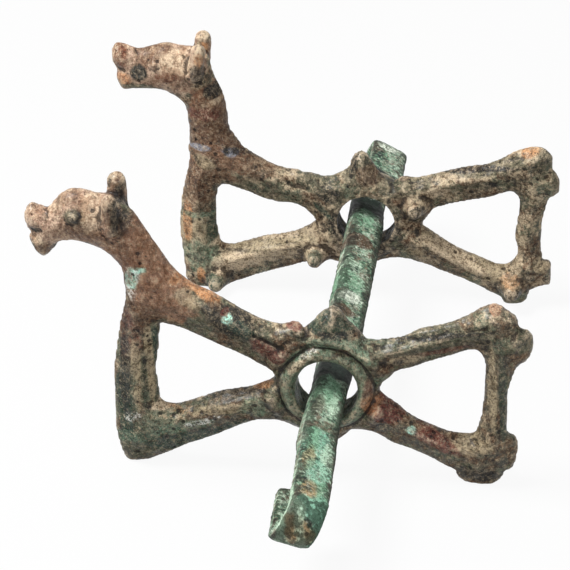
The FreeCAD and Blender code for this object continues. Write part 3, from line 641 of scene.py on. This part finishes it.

# Stains, and among them some painted shade and highlights: x and z from the ring's centre, half sizes, lean in
# degrees, colour, strength. Later ones lie on top.
nearStains = [
    # Painted shade inside the ring's hole.
    (0, 0, 8.6, 8.6, 0, "black", 0.85),
    (-65.6, 40.2, 9, 1.6, 12, "metal", 0.35),
    (-58.8, 50.7, 7, 2.0, -8, "metal", 0.35),
    (-55.7, 38.9, 6, 2.2, -35, "metal", 0.5),
    (-17.7, 14.0, 9, 3.6, -34, "olive", 0.75),
    (25.6, 15.8, 15, 3.6, 13, "olive", 0.55),
    (15.5, 14.2, 3.6, 2.0, 14, "olive", 0.85),
    (26.2, -11.0, 12, 2.8, -28, "metal", 0.5),
    (-47.1, -18.2, 7, 6, 0, "deepGreen", 0.55),
    (-65.4, 46.1, 15, 10, 0, "pink", 0.9),
    (-71.8, 46.5, 5, 5, 0, "pink", 0.7),
    (-50.8, 38.7, 7, 9, -45, "ruddy", 0.85),
    (-44.7, 34.3, 9, 10, -45, "ruddy", 0.85),
    (-41.1, 26.1, 10, 7, -30, "ruddy", 0.85),
    (-47.3, 19.1, 6, 4, 0, "metal", 0.7),
    (-72.2, 47.8, 2.6, 1.6, 20, "metal", 0.7),
    (-72.2, 41.1, 1.5, 0.5, -10, "black", 0.9),
    (-70.0, 36.0, 2.6, 2.4, 0, "metal", 0.8),
    (-71.4, 38.4, 2.0, 1.4, 0, "paleSoil", 0.5),
    (-67.3, 48.4, 3.2, 2.2, 40, "paleSoil", 0.45),
    (-61.9, 46.3, 2.6, 2.2, 0, "olive", 0.9),
    (-61.4, 45.5, 1.2, 1.0, 0, "black", 0.8),
    (-64.7, 50.5, 4.6, 1.8, 22, "metal", 0.55),
    (-56.5, 44.7, 3.6, 2.6, 0, "metal", 0.5),
    (-63.0, 42.6, 5, 1.6, 10, "metal", 0.45),
    (-59.9, 48.9, 1.6, 1.2, 0, "metal", 0.5),
    (-57.4, 47.2, 2.6, 5.5, 4, "paleSoil", 0.55),
    (-58.1, 41.3, 8, 2.0, -18, "metal", 0.45),
    (-53.0, 49.4, 1.3, 5.0, 3, "metal", 0.8),
    # Painted shade on the ear's rear half.
    (-51.7, 48.7, 1.1, 5.6, 3, "black", 0.85),
    (-52.9, 53.0, 1.6, 1.4, 0, "metal", 0.6),
    # Painted shadow behind the ear.
    (-50.4, 45.1, 2.4, 3.4, -30, "black", 0.65),
    (-51.3, 57.2, 2.2, 3.4, 0, "pink", 0.8),
    (-50.6, 55.9, 0.9, 3.6, 0, "paleSoil", 0.7),
    (-52.0, 56.1, 0.9, 2.6, 0, "metal", 0.7),
    (-48.2, 29.6, 1.6, 3.2, -14, "turquoise", 1.0),
    (-47.0, 31.9, 2.2, 1.0, 25, "turquoise", 0.9),
    (-47.8, 30.7, 1.8, 2.2, 0, "glintWhite", 0.75),
    (-48.6, 25.6, 1.4, 2.6, 0, "glintWhite", 0.7),
    (-45.2, 32.6, 1.0, 0.7, 0, "turquoise", 0.8),
    (-37.6, 29.2, 1.6, 1.1, 0, "rust", 0.6),
    (-30.2, 25.9, 5.4, 1.9, -30, "rust", 0.8),
    (-33.7, 24.3, 4.0, 2.0, -30, "soil", 0.7),
    (-23.6, 18.8, 9, 3.4, -30, "black", 0.75),
    (-24.5, 19.8, 1.3, 1.3, 0, "turquoise", 0.95),
    (-25.1, 21.3, 1.0, 0.8, 0, "oxide", 0.9),
    (-19.9, 16.2, 5, 1.9, -30, "deepGreen", 0.85),
    (-14.5, 11.4, 6, 2.6, -38, "oxide", 0.8),
    (-21.4, 21.8, 8, 1.0, -28, "soil", 0.8),
    (-49.4, 12.3, 3, 6, 0, "oxide", 0.5),
    (-47.7, 0.7, 1.8, 10, 2, "soil", 0.7),
    (-44.2, 3.4, 1.0, 12, 2, "soil", 0.7),
    (-50.4, -5.4, 3.0, 10, 0, "deepGreen", 0.7),
    (-45.6, -1.2, 0.8, 8, 2, "deepGreen", 0.5),
    (-42.7, 4.9, 0.7, 12, 2, "deepGreen", 0.7),
    (-50.2, -17.9, 4.0, 2.4, 0, "verdigris", 0.5),
    (-48.8, -10.4, 2.2, 1.3, 20, "glintWhite", 0.6),
    (-40.5, -7.3, 3.6, 1.3, 10, "paleSoil", 0.8),
    (-28.3, -2.5, 13, 1.2, 13, "paleSoil", 0.85),
    (-34.3, -12.1, 10, 2.0, 14, "verdigris", 0.6),
    (-25.3, -6.4, 9, 1.6, 14, "soil", 0.6),
    (-16.0, 0.5, 3.4, 1.5, 15, "rust", 0.65),
    (-31.7, -11.0, 4.4, 1.0, 14, "glintWhite", 0.7),
    (-28.1, -9.3, 2.8, 0.8, 20, "glintWhite", 0.8),
    (-30.5, -15.4, 15, 2.6, 17, "deepGreen", 0.85),
    (-36.7, -7.3, 3, 2, 10, "rust", 0.35),
    (-49.0, -21.4, 6, 3, 0, "olive", 0.8),
    (-9.7, 9.4, 3.0, 1.6, -60, "oxide", 0.7),
    (-17.3, -5.8, 4, 3, 10, "verdigris", 0.55),
    (-50.4, 2.3, 1.6, 12, 0, "black", 0.6),
    (0.5, 1.5, 12.6, 12.6, 0, "verdigris", 0.62),
    (2.9, 19.3, 5.0, 4.4, 0, "olive", 0.9),
    (3.1, 18.5, 4.0, 3.0, 0, "deepGreen", 0.6),
    (0.9, 21.7, 1.6, 2.6, -35, "black", 0.6),
    (4.6, 21.4, 1.2, 3.6, 30, "black", 0.6),
    (2.3, 23.8, 2.0, 1.2, 0, "black", 0.6),
    (1.9, 17.2, 7.5, 0.7, 0, "black", 0.75),
    (1.9, 14.6, 13, 1.3, 0, "verdigris", 0.55),
    (-8.0, 18.5, 2.4, 1.6, 0, "oxide", 0.8),
    (23.1, 18.2, 12, 1.2, 13, "olive", 0.6),
    (25.6, 12.9, 10, 0.9, 14, "oxide", 0.5),
    (19.5, 10.8, 5, 1.5, 15, "soil", 0.7),
    (17.8, 9.8, 1.2, 0.9, 0, "black", 0.8),
    (41.2, 26.3, 1.7, 1.3, 0, "ruddy", 0.9),
    (48.5, 17.5, 1.8, 3.0, 0, "olive", 0.7),
    (41.2, 3.4, 1.3, 14, 3, "soil", 0.75),
    (43.9, 1.9, 1.2, 14, 3, "deepGreen", 0.6),
    (37.4, -11.8, 5.5, 3.4, 0, "soil", 0.6),
    (39.2, -21.5, 6, 2.2, 0, "black", 0.65),
    (14.8, -3.9, 4.6, 4.2, 0, "oxide", 0.9),
    (21.6, -9.5, 1.7, 1.2, -20, "turquoise", 0.8),
    (26.7, -11.8, 7, 1.8, -28, "oxide", 0.8),
    (24.8, -5.4, 10, 1.0, -28, "soil", 0.7),
    (10.5, 0.8, 1.4, 5, 0, "oxide", 0.6),
    (27.5, 17.7, 15, 0.45, 13, "black", 0.75),
    (-24.1, -3.3, 13, 0.4, 14, "black", 0.6),
    (-18.4, 20.6, 12, 0.45, -28, "black", 0.6),
    (-13.5, 12.9, 7, 0.45, -38, "black", 0.6),
    (24.8, -7.8, 10, 0.4, -28, "black", 0.5),
    (-1.8, 19.5, 1.4, 3.6, -40, "deepGreen", 0.7),
    # Paler arcs on the upper left of the ring's hoop: a painted highlight.
    (-6.5, 11.4, 6, 1.0, 40, "verdigris", 0.6),
    (-6.7, 8.2, 3.4, 1.0, 45, "paleSoil", 0.6),
    (-4.5, 11.3, 3.0, 0.8, 25, "glintWhite", 0.35),
    (11.5, -2.4, 2.2, 3.0, 0, "rust", 0.5),
    (8.4, 12.5, 6, 1.0, -35, "verdigris", 0.6),
]
farStains = [
    # Painted shade inside the ring's hole.
    (0, 0, 8.6, 8.6, 0, "black", 0.85),
    (-24.9, -9.8, 14, 4.2, 11, "soil", 0.8),
    (28.7, -10.5, 14, 3.2, -28, "soil", 0.6),
    (-31.7, 7.2, 12, 3, -20, "olive", 0.55),
    (-13.1, 10.9, 6, 3.4, -14, "olive", 0.8),
    (-9.0, 9.3, 3.4, 4.4, 30, "olive", 0.85),
    (5.3, 11.5, 3.4, 3.0, -20, "olive", 0.6),
    (27.9, 17.9, 16, 2.4, 11, "olive", 0.6),
    (30.7, 13.2, 14, 1.2, 11, "olive", 0.55),
    (-2.3, 12.9, 5, 1.6, 0, "olive", 0.7),
    (-55.7, 45.1, 13, 9, 0, "pink", 0.8),
    (-66.0, 45.1, 6, 6, 0, "pink", 0.7),
    (-41.9, 30.1, 6, 9, 0, "ruddy", 0.9),
    (-43.5, 32.1, 2.4, 6, -20, "metal", 0.7),
    (-43.0, 23.9, 7, 7, 0, "metal", 0.95),
    (-39.2, 26.3, 2.6, 9, 0, "metal", 0.8),
    (-36.6, 17.4, 6, 3.4, -30, "metal", 0.85),
    (-46.5, 10.6, 4, 5, 0, "metal", 0.7),
    (-41.2, 14.9, 8, 6, -20, "ruddy", 0.65),
    (-43.2, 12.6, 6, 6, 0, "metal", 0.75),
    (-35.4, 19.9, 5, 2, -30, "metal", 0.7),
    (-31.7, 15.5, 8, 3, -28, "metal", 0.6),
    (-66.7, 46.5, 1.9, 4.0, 0, "lip", 0.95),
    (-65.8, 39.1, 2.2, 1.8, 0, "rust", 0.6),
    (-61.5, 41.7, 2.0, 2.1, 0, "black", 1.0),
    (-61.4, 42.1, 1.5, 1.6, 0, "slate", 1.0),
    (-58.6, 47.6, 6, 2.4, 12, "metal", 0.6),
    (-54.3, 45.8, 4, 1.4, 10, "metal", 0.4),
    (-51.4, 45.3, 5, 3.0, 0, "paleSoil", 0.6),
    (-57.0, 49.1, 7, 1.4, 8, "metal", 0.5),
    (-49.3, 40.1, 4, 1.6, -25, "metal", 0.5),
    (-53.9, 41.0, 3.6, 1.5, 10, "lip", 0.8),
    (-44.9, 47.5, 1.3, 2.2, 0, "rust", 0.75),
    (-45.5, 42.4, 1.7, 3.6, 5, "black", 0.8),
    (-44.0, 52.3, 1.6, 2.6, 0, "paleSoil", 0.5),
    (-41.8, 37.0, 2.3, 1.9, 0, "black", 0.95),
    (-41.3, 34.0, 4.0, 0.6, 15, "paleSoil", 0.7),
    (-44.6, 30.5, 5, 1.7, 0, "oxide", 0.65),
    (-45.7, 20.1, 3.0, 0.95, 3, "silver", 1.0),
    (-37.1, 19.3, 2.2, 1.0, -15, "silver", 1.0),
    (-38.2, 19.7, 0.6, 1.2, 0, "black", 0.8),
    (-44.2, 15.9, 3.2, 1.8, -15, "soil", 0.75),
    (-46.8, 5.3, 5, 5, 0, "metal", 0.6),
    (-45.6, -4.9, 5, 4.4, 0, "soil", 0.7),
    (-48.9, -3.0, 1.5, 6.5, 0, "rust", 0.7),
    (-42.5, -5.0, 1.5, 5, 0, "deepGreen", 0.8),
    (-46.1, -0.9, 4, 1.0, 0, "verdigris", 0.7),
    (-45.7, -13.8, 5, 5, 0, "verdigris", 0.55),
    (-45.2, -20.1, 1.3, 2.6, 0, "rust", 0.95),
    (-41.7, -20.5, 2.6, 2.2, 0, "deepGreen", 0.85),
    (-30.4, -7.7, 12, 1.2, 11, "paleSoil", 0.75),
    (-27.9, -13.2, 9, 1.6, 11, "olive", 0.45),
    (-9.4, -9.1, 7, 2.6, -5, "paleSoil", 0.7),
    (-34.6, -14.9, 7, 3.0, 11, "paleSoil", 0.7),
    (-24.9, -12.0, 9, 2.2, 11, "paleSoil", 0.6),
    (24.5, -9.5, 9, 2.0, -28, "paleSoil", 0.6),
    (-13.5, -10.3, 2.0, 1.8, 0, "deepGreen", 0.8),
    (-2.6, 19.9, 2.0, 1.3, 0, "black", 0.85),
    (-0.7, 16.0, 3.0, 3.0, 0, "olive", 0.5),
    (-5.5, 13.9, 1.6, 2.8, 0, "paleSoil", 0.5),
    (-10.1, 8.0, 3.2, 2.2, 0, "black", 0.75),
    # Painted shade on the wall of the ring's hole, left of the bar.
    (-8.1, 0.1, 1.8, 3.0, 0, "black", 0.8),
    (-12.0, 3.0, 3.4, 1.2, -40, "deepGreen", 0.75),
    # Painted shade on the wall of the ring's hole, right of the bar.
    (5.6, -3.0, 1.8, 3.0, 0, "black", 0.75),
    (6.0, 5.1, 1.0, 3.0, 0, "black", 0.6),
    (-1.2, 12.3, 5, 1.2, 0, "metal", 0.6),
    (9.4, 13.3, 2.2, 0.9, 0, "oxide", 0.8),
    (13.6, 5.9, 2.0, 2.0, 0, "black", 0.8),
    (9.5, 7.5, 2.2, 2.6, 0, "metal", 0.6),
    (23.1, 16.4, 7, 0.8, 10, "rust", 0.5),
    (29.2, 17.1, 15, 0.5, 11, "black", 0.9),
    (-3.4, 15.2, 5.0, 5, 0, "olive", 0.8),
    (-0.1, 14.2, 3, 2.4, 0, "metal", 0.6),
    (11.8, 11.9, 6, 3, 10, "olive", 0.6),
    (-3.7, 16.4, 0.9, 4, -12, "black", 0.9),
    (2.5, 17.5, 0.9, 4, 28, "black", 0.85),
    (-28.4, 16.4, 12, 0.45, -24, "black", 0.6),
    (-28.5, -10.7, 12, 0.4, 9, "black", 0.4),
    (44.2, 23.8, 3.0, 1.1, 22, "rust", 0.6),
    (18.9, 10.3, 3.4, 1.5, 10, "paleSoil", 0.6),
    (33.9, 13.7, 1.5, 0.8, 0, "black", 0.75),
    (47.5, 21.3, 1.6, 5, 0, "olive", 0.6),
    (51.0, 15.8, 1.6, 3, 0, "olive", 0.6),
    (48.6, 1.5, 0.9, 9, 0, "black", 0.5),
    (23.0, -4.0, 12, 0.9, -28, "black", 0.6),
    (13.3, -8.4, 3.4, 2.2, 0, "soil", 0.55),
    (40.3, -15.0, 3.0, 1.8, 10, "rust", 0.45),
    (40.3, -18.2, 2.8, 2.0, 0, "black", 0.8),
    (48.0, -11.0, 2.6, 2.4, 0, "soil", 0.6),
]


def newPatina(name):
    patina = bpy.data.materials.new(name)
    patina.use_nodes = True
    patina.node_tree.nodes.clear()
    return patina, Bench(patina.node_tree)


class Paint:  # a colour that is covered and darkened coat by coat
    def __init__(self, bench, colour):
        self.bench, self.colour = bench, colour

    def cover(self, share, colour):
        self.colour = self.bench.mix(share, self.colour, colour)

    def darken(self, share, shadow):
        self.colour = self.bench.shade(share, self.colour, shadow)


finish = {
    "gamma": 1.25,          # deepens the dark places
    "gain": 1.45,           # and brings the light ones back up
    "specular": 0.22,
    "coatRoughness": 0.30,
    "grain": 0.0010,        # metres that the bump stands for
}


def finished(bench, spot, fleck, colour, roughness, waxed):
    deepened = bench.add("ShaderNodeGamma", {}, {"Color": colour, "Gamma": finish["gamma"]})
    height = bench.noise(spot, 1.3, 5.0, 0.75) * 0.6 + fleck * 0.4
    shader = bench.add("ShaderNodeBsdfPrincipled", {}, {
        "Base Color": bench.shade(1.0, deepened, (finish["gain"],) * 3 + (1,)),
        "Roughness": roughness, "Specular IOR Level": finish["specular"],
        "Coat Weight": waxed, "Coat Roughness": finish["coatRoughness"],
        "Normal": bench.add("ShaderNodeBump", {}, {
            "Strength": 1.0, "Distance": finish["grain"], "Height": height})})
    bench.close("ShaderNodeOutputMaterial", shader)


def placeInMm(bench):
    place = bench.add("ShaderNodeTexCoord", {}, {}, output=3)
    return bench.vector("MULTIPLY", place, (1 / mm, 1 / mm, 1 / mm))


dabbing = {
    "fine": 0.22,           # lumps for each mm that make a stain's outline waver
    "seed": 5,
    "waver": 0.55,          # how far it wavers, as a share of the stain's size
    "soft": (1.2, 0.8),     # where a stain sets in and where it is full, in its own sizes
    "lattice": 48,
    "octaves": 5,
    "falloff": 0.65,
}


def lumpy(points, fine, seed):  # soft random lumps, about -1 to 1
    side = dabbing["lattice"]
    lattice = np.random.default_rng(seed).random((side, side, side))
    total = np.zeros(len(points))
    for octave in range(dabbing["octaves"]):
        cell = points * fine * 2 ** octave + 7 * octave
        low = np.floor(cell).astype(int)
        t = cell - low
        t = t * t * (3 - 2 * t)
        value = 0
        for corner in np.ndindex(2, 2, 2):
            share = np.prod([t[:, k] if corner[k] else 1 - t[:, k] for k in range(3)], axis=0)
            value = value + share * lattice[tuple((low[:, k] + corner[k]) % side for k in range(3))]
        total += (value - 0.5) * dabbing["falloff"] ** octave
    return total


def dab(thing, origin, across, stains, tints):  # lays the stains on the piece's points, one over the other; the white glint marks, painted highlights, are kept apart
    skin = thing.data
    points = np.empty(len(skin.vertices) * 3)
    skin.vertices.foreach_get("co", points)
    points = points.reshape(-1, 3) / mm - origin
    waver = lumpy(points, dabbing["fine"], dabbing["seed"]) * dabbing["waver"]
    setsIn, full = dabbing["soft"]
    colour = np.zeros((len(points), 4))
    glints = np.zeros(len(points))
    for alongAt, upAt, longHalf, wideHalf, lean, tint, strength in stains:
        cosine, sine = math.cos(math.radians(lean)), math.sin(math.radians(lean))
        dx, dz = points[:, across[0]] - alongAt, points[:, across[1]] - upAt
        away = np.hypot((dx * cosine + dz * sine) / longHalf, (dz * cosine - dx * sine) / wideHalf) + waver
        share = strength * eased(-away, -setsIn, -full)
        # White glint marks are painted highlights, kept in an attribute of their own.
        if tint == "glintWhite":
            glints = np.maximum(glints, share)
            continue
        share = share[:, None]
        colour = colour * (1 - share) + np.array(tints[tint]) * share
    colour[:, :3] /= np.maximum(colour[:, 3:], 1e-4)
    stain = skin.attributes.new("stain", "FLOAT_COLOR", "POINT")
    stain.data.foreach_set("color", colour.astype(np.float32).ravel())
    glint = skin.attributes.new("glints", "FLOAT", "POINT")
    glint.data.foreach_set("value", glints.astype(np.float32))


def earthPatina(name, ring, soiled):
    patina, bench = newPatina(name)
    spot = placeInMm(bench)
    proudness, rough, tilt, glints = [bench.painted(name) for name in ("proudness", "rough", "tilt", "glints")]
    local = bench.vector("SUBTRACT", spot, tuple(ring))
    x, _, z = bench.parts(local)
    cloud = bench.noise(spot, 0.10, 5.0, 0.6)
    blot = bench.noise(spot, 0.36, 6.0, 0.7)
    speck = bench.noise(spot, 1.0, 5.0, 0.75)
    fleck = bench.noise(spot, 2.3, 3.0, 0.8)
    head = bench.between(z, 12.0, 30.0) * bench.between(x, -26.0, -38.0)

    paint = Paint(bench, bench.mix(bench.between(blot, 0.36, 0.62), earth["olive"], earth["metal"]))
    paint.cover(bench.between(cloud + (blot - 0.5) * 0.6, 0.50, 0.58) * 0.5, earth["verdigris"])
    # Soil lies in loose patches and on the upper facets; it gathers most on facets facing the key light, so
    # there it is a painted highlight as well as soil.
    patch = bench.noise(spot, 0.22, 6.0, 0.72) + (speck - 0.5) * 0.5 + tilt * 0.09 - proudness * 0.10
    soil = bench.mix(bench.between(fleck, 0.30, 0.65), earth["soil"], earth["paleSoil"])
    paint.cover(bench.between(patch, 0.55 - 0.11 * soiled, 0.66 - 0.11 * soiled) * 0.8, soil)
    # Facets turned away from the key light are darkened towards black: painted shade.
    paint.cover(bench.between(tilt + (speck - 0.5) * 0.8, -0.15, -0.65) * (0.42 - 0.4 * soiled), earth["black"])
    tint, share = bench.painted("stain", 0), bench.painted("stain", 3)
    edge = (blot - 0.5) * 1.2 + (speck - 0.5) * 0.8
    paint.cover(bench.between(share + edge, 0.15, 0.85), tint)
    # White glints scattered over the grain: painted highlights.
    paint.cover(glints * bench.between(speck - (fleck - 0.5) * 0.4, 0.46, 0.53), earth["glintWhite"])
    # Dark mottling, brush marks on the head, pits and pale grains.
    mottle = bench.noise(spot, 0.60, 6.0, 0.8) + (speck - 0.5) * 0.5
    paint.darken(bench.between(mottle, 0.50, 0.58) * (0.90 - 0.35 * head), (0.27, 0.23, 0.18, 1))
    paint.cover(bench.between(mottle, 0.45, 0.38) * 0.55, soil)
    brushed = bench.noise(bench.vector("MULTIPLY", local, (1.2, 1.0, 0.7)), 0.8, 5.0, 0.72)
    paint.darken(bench.between(brushed, 0.48, 0.60) * 0.66 * head, (0.36, 0.27, 0.21, 1))
    paint.cover(bench.between(brushed, 0.45, 0.36) * 0.40 * head, earth["paleSoil"])
    tanned = bench.noise(spot, 0.28, 4.0, 0.6)
    paint.darken(bench.between(tanned, 0.47, 0.60) * 0.60 * head, (0.55, 0.42, 0.34, 1))
    grains = bench.between(speck + (fleck - 0.5) * 0.7, 0.51, 0.62)
    paint.cover(grains * (0.34 + 0.12 * soiled - 0.14 * head), soil)
    paint.darken(bench.between(rough, -0.01, -0.06) * 0.8, (0.12, 0.10, 0.09, 1))
    # Darker in the hollows.
    paint.darken(bench.between(proudness, -0.25, -0.65) * 0.5, (0.20, 0.18, 0.16, 1))
    pitted = bench.between(fleck - (speck - 0.5) * 0.5, 0.51, 0.60)
    paint.darken(pitted * (0.75 - 0.35 * head), (0.18, 0.16, 0.13, 1))
    # Proud ridges are smoother and glossier from wear, and paler in colour, a painted highlight.
    rubbedAndHighlit = bench.between(proudness, 0.28, 0.70) * bench.between(speck, 0.40, 0.55)
    paint.cover(rubbedAndHighlit * 0.40, earth["paleSoil"])
    roughness = 0.27 + 0.45 * bench.between(blot + (speck - 0.5) * 0.5, 0.38, 0.60) - 0.08 * rubbedAndHighlit
    waxed = (0.24 - 0.16 * soiled) * bench.between(blot, 0.62, 0.42) + 0.12 * rubbedAndHighlit
    finished(bench, spot, fleck, paint.colour, roughness, waxed)
    return patina


crust = {  # colours of the mouthpiece
    "malachite": (0.185, 0.310, 0.215, 1),
    "deep": (0.024, 0.055, 0.038, 1),
    "pale": (0.400, 0.500, 0.400, 1),
    "white": (0.540, 0.570, 0.500, 1),
    "brown": (0.115, 0.078, 0.052, 1),
    "ochre": (0.320, 0.235, 0.135, 1),
    "turquoise": (0.230, 0.400, 0.310, 1),
    # painted shadow where the bar passes under the rings
    "ringShadow": (0.020, 0.034, 0.025, 1),
}

# Stains on the bar, and painted shadow where it passes under the rings: x and y, half sizes, lean, colour,
# strength.
barStains = [
    # Painted shadow where the bar passes under each ring.
    (11.5, -25.4, 9, 4.5, 0, "ringShadow", 0.95),
    (12.3, 64.0, 9, 6.0, 0, "ringShadow", 0.92),
    (15.4, 83.1, 3.4, 2.6, 0, "white", 0.75),
    (17.3, 87.5, 3.0, 2.4, 0, "turquoise", 0.75),
    (12.0, 53.2, 3, 6, 0, "malachite", 0.7),
    (10.7, 40.2, 5, 4, 0, "brown", 0.8),
    (10.7, 27.2, 4, 2, 0, "pale", 0.7),
    (10.3, 18.7, 5, 6, 0, "malachite", 0.7),
    (12.2, 10.6, 3, 3, 0, "white", 0.7),
    (10.1, 3.6, 5, 3, 0, "brown", 0.75),
    (11.4, -3.8, 5, 4, 0, "pale", 0.6),
    (11.4, -35.9, 4.4, 6, 0, "malachite", 0.85),
    (14.0, -42.1, 1.4, 6, 0, "pale", 0.6),
    (10.6, -42.5, 1.6, 5, 0, "pale", 0.5),
    (10.3, -44.4, 1.6, 5, 0, "brown", 0.5),
    (13.1, -51.0, 4.4, 2.4, 0, "brown", 0.5),
    (11.9, -60.6, 4.0, 7, 0, "turquoise", 0.6),
    (10.8, -58.9, 1.4, 6, 0, "malachite", 0.7),
    (14.9, -65.1, 1.4, 8, 0, "pale", 0.7),
    (10.8, -67.8, 1.4, 5, 0, "ochre", 0.6),
    (13.5, -72.3, 3.0, 5, 0, "turquoise", 0.6),
    (12.7, -81.8, 2.4, 5, 0, "ochre", 0.6),
    (15.4, -80.2, 1.6, 6, 0, "malachite", 0.7),
    (6.8, -85.5, 2.2, 8, 0, "pale", 0.9),
    (15.0, -85.4, 2.4, 5, 0, "turquoise", 0.7),
    (12.4, -91.5, 4.0, 3.0, 0, "ochre", 0.75),
    (14.3, -95.9, 3.0, 3.0, 0, "malachite", 0.7),
    (11.4, -98.3, 3.0, 2.0, 0, "brown", 0.7),
    (15.5, -97.4, 3.0, 2.2, 0, "ochre", 0.5),
    (13.5, -85.8, 4.0, 3.0, 0, "turquoise", 0.85),
    (12.5, -89.8, 5.0, 1.4, 0, "ochre", 0.65),
    (11.0, -87.6, 1.6, 2.4, 0, "pale", 0.7),
]


def crustPatina(name):
    patina, bench = newPatina(name)
    spot, rough = placeInMm(bench), bench.painted("rough")
    cloud = bench.noise(spot, 0.13, 5.0, 0.62)
    blot = bench.noise(spot, 0.40, 5.0, 0.7)
    speck = bench.noise(spot, 1.1, 5.0, 0.75)
    fleck = bench.noise(spot, 2.4, 3.0, 0.8)
    green = bench.between(blot + (speck - 0.5) * 0.6, 0.36, 0.60)
    paint = Paint(bench, bench.mix(green, crust["deep"], crust["malachite"]))
    paint.cover(bench.between(cloud + (speck - 0.5) * 0.6, 0.43, 0.56) * 0.85, crust["pale"])
    bare = bench.between(bench.noise(spot, 0.26, 6.0, 0.72) + (speck - 0.5) * 0.4, 0.50, 0.60)
    paint.cover(bare * 0.85, crust["brown"])
    grime = bench.noise(spot, 0.55, 6.0, 0.75) + (speck - 0.5) * 0.3
    paint.cover(bench.between(grime, 0.49, 0.61) * 0.55, crust["brown"])
    white = bench.between(bench.noise(spot, 0.40, 6.0, 0.75) + (fleck - 0.5) * 0.6, 0.54, 0.64)
    paint.cover(white * 0.75, crust["white"])
    paint.cover(bench.between(speck, 0.57, 0.68) * 0.5, crust["ochre"])
    tint, share = bench.painted("stain", 0), bench.painted("stain", 3)
    edge = (blot - 0.5) * 1.2 + (speck - 0.5) * 1.4 + (fleck - 0.5) * 0.6
    # Where stains are nearly full, chiefly the painted shadow under the rings, their edges stay whole and no
    # white flakes lie.
    ringShadow = bench.between(share, 0.80, 0.90)
    paint.cover(bench.between(share + edge * (1 - ringShadow), 0.15, 0.85), tint)
    flaked = bench.noise(spot, 1.0, 5.0, 0.8) + (fleck - 0.5) * 0.4
    paint.cover(bench.between(flaked, 0.55, 0.60) * 0.55 * (1 - ringShadow), crust["white"])
    paint.darken(bench.between(flaked, 0.46, 0.40) * 0.65, (0.28, 0.34, 0.26, 1))
    paint.darken(bench.between(rough, -0.01, -0.06) * 0.8, (0.15, 0.17, 0.14, 1))
    paint.darken(bench.between(fleck - (speck - 0.5) * 0.5, 0.51, 0.60) * 0.75, (0.20, 0.20, 0.16, 1))
    roughness = 0.5 + 0.35 * bench.between(blot, 0.35, 0.65)
    finished(bench, spot, fleck, paint.colour, roughness, 0.08)
    return patina


nearPatina = earthPatina("near cheekpiece patina", nearHorse["ring"], 0.12)
farPatina = earthPatina("far cheekpiece patina", farHorse["ring"], 0.9)
barPatina = crustPatina("mouthpiece patina")
skinMaker = skinTree()
for thing, kind, patina in ((nearCheek, "cheek", nearPatina), (farCheek, "cheek", farPatina),
                            (bar, "bar", barPatina)):
    baked(thing.name, thing, skinMaker, {**corrosion[kind], "Patina": patina})
dab(nearCheek, nearHorse["ring"], (0, 2), nearStains, earth)
dab(farCheek, farHorse["ring"], (0, 2), farStains, earth)
dab(bar, (0, 0, 0), (0, 1), barStains, crust)
print("skins roughened and coloured")

for thing, node in ((bar, "mouthpiece"), (nearCheek, "near_cheekpiece"), (farCheek, "far_cheekpiece")):
    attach(thing, node)
    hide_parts(node)


studio = {
    "tablePale": 0.35,
    "tableGlow": 0.93,         # how much of the table a camera ray sees as plain white
    "roomLight": 0.44,
    "keyPower": 11.0, "keySize": 0.26, "keyAt": (-0.34, -0.06, 0.62),
    "fillPower": 3.4, "fillSize": 0.6, "fillAt": (0.25, -0.7, 0.35),
    "lampAim": (0, 0, 0.03),
    "tableHalf": 6.0,
    "lens": 207.3, "filmWidth": 36.0, "nearest": 0.01,
    "eyeAt": (0.08540, -0.72171, 0.45823),
    "lookAt": (0.000633, -0.03185, 0.05340),
}


def seenPlain(bench):  # 1 where the camera sees it, by itself or through glass or in a mirror
    straight, mirrored, through = [bench.add("ShaderNodeLightPath", {}, {}, output=f"Is {kind} Ray")
                                   for kind in ("Camera", "Glossy", "Transmission")]
    return straight.larger(mirrored).larger(through)


def table():
    skin = bpy.data.meshes.new("table")
    half = studio["tableHalf"]
    corners = [(x * half, y * half, 0) for x, y in ((-1, -1), (1, -1), (1, 1), (-1, 1))]
    skin.from_pydata(corners, [], [(0, 1, 2, 3)])
    top = placed("table", skin)
    white, bench = newPatina("pale table")
    matt = bench.add("ShaderNodeBsdfDiffuse", {}, {"Color": (studio["tablePale"],) * 3 + (1,)})
    glow = bench.add("ShaderNodeEmission", {}, {"Color": (1, 1, 1, 1), "Strength": 1.0})
    plain = seenPlain(bench) * studio["tableGlow"]
    bench.close("ShaderNodeOutputMaterial", bench.add("ShaderNodeMixShader", {}, {0: plain, 1: matt, 2: glow}))
    skin.materials.append(white)


def room():
    world = bpy.data.worlds.new("room")
    bpy.context.scene.world = world
    world.use_nodes = True
    world.node_tree.nodes.clear()
    bench = Bench(world.node_tree)
    strength = studio["roomLight"] + seenPlain(bench) * (1.0 - studio["roomLight"])
    back = bench.add("ShaderNodeBackground", {}, {"Color": (1, 1, 1, 1), "Strength": strength})
    bench.close("ShaderNodeOutputWorld", back)


def lamp(name):
    light = bpy.data.lights.new(name, "AREA")
    light.size = studio[name + "Size"]
    light.energy = studio[name + "Power"]
    aimed(placed(name, light), studio[name + "At"], studio["lampAim"])


table()
room()
lamp("key")
lamp("fill")
view = bpy.data.cameras.new("camera")
view.lens = studio["lens"]
view.sensor_width = studio["filmWidth"]
view.clip_start = studio["nearest"]
camera = placed("camera", view)
aimed(camera, studio["eyeAt"], studio["lookAt"])
bpy.context.scene.camera = camera
bpy.context.scene.view_settings.view_transform = "Standard"

print("table, lamps and camera set")
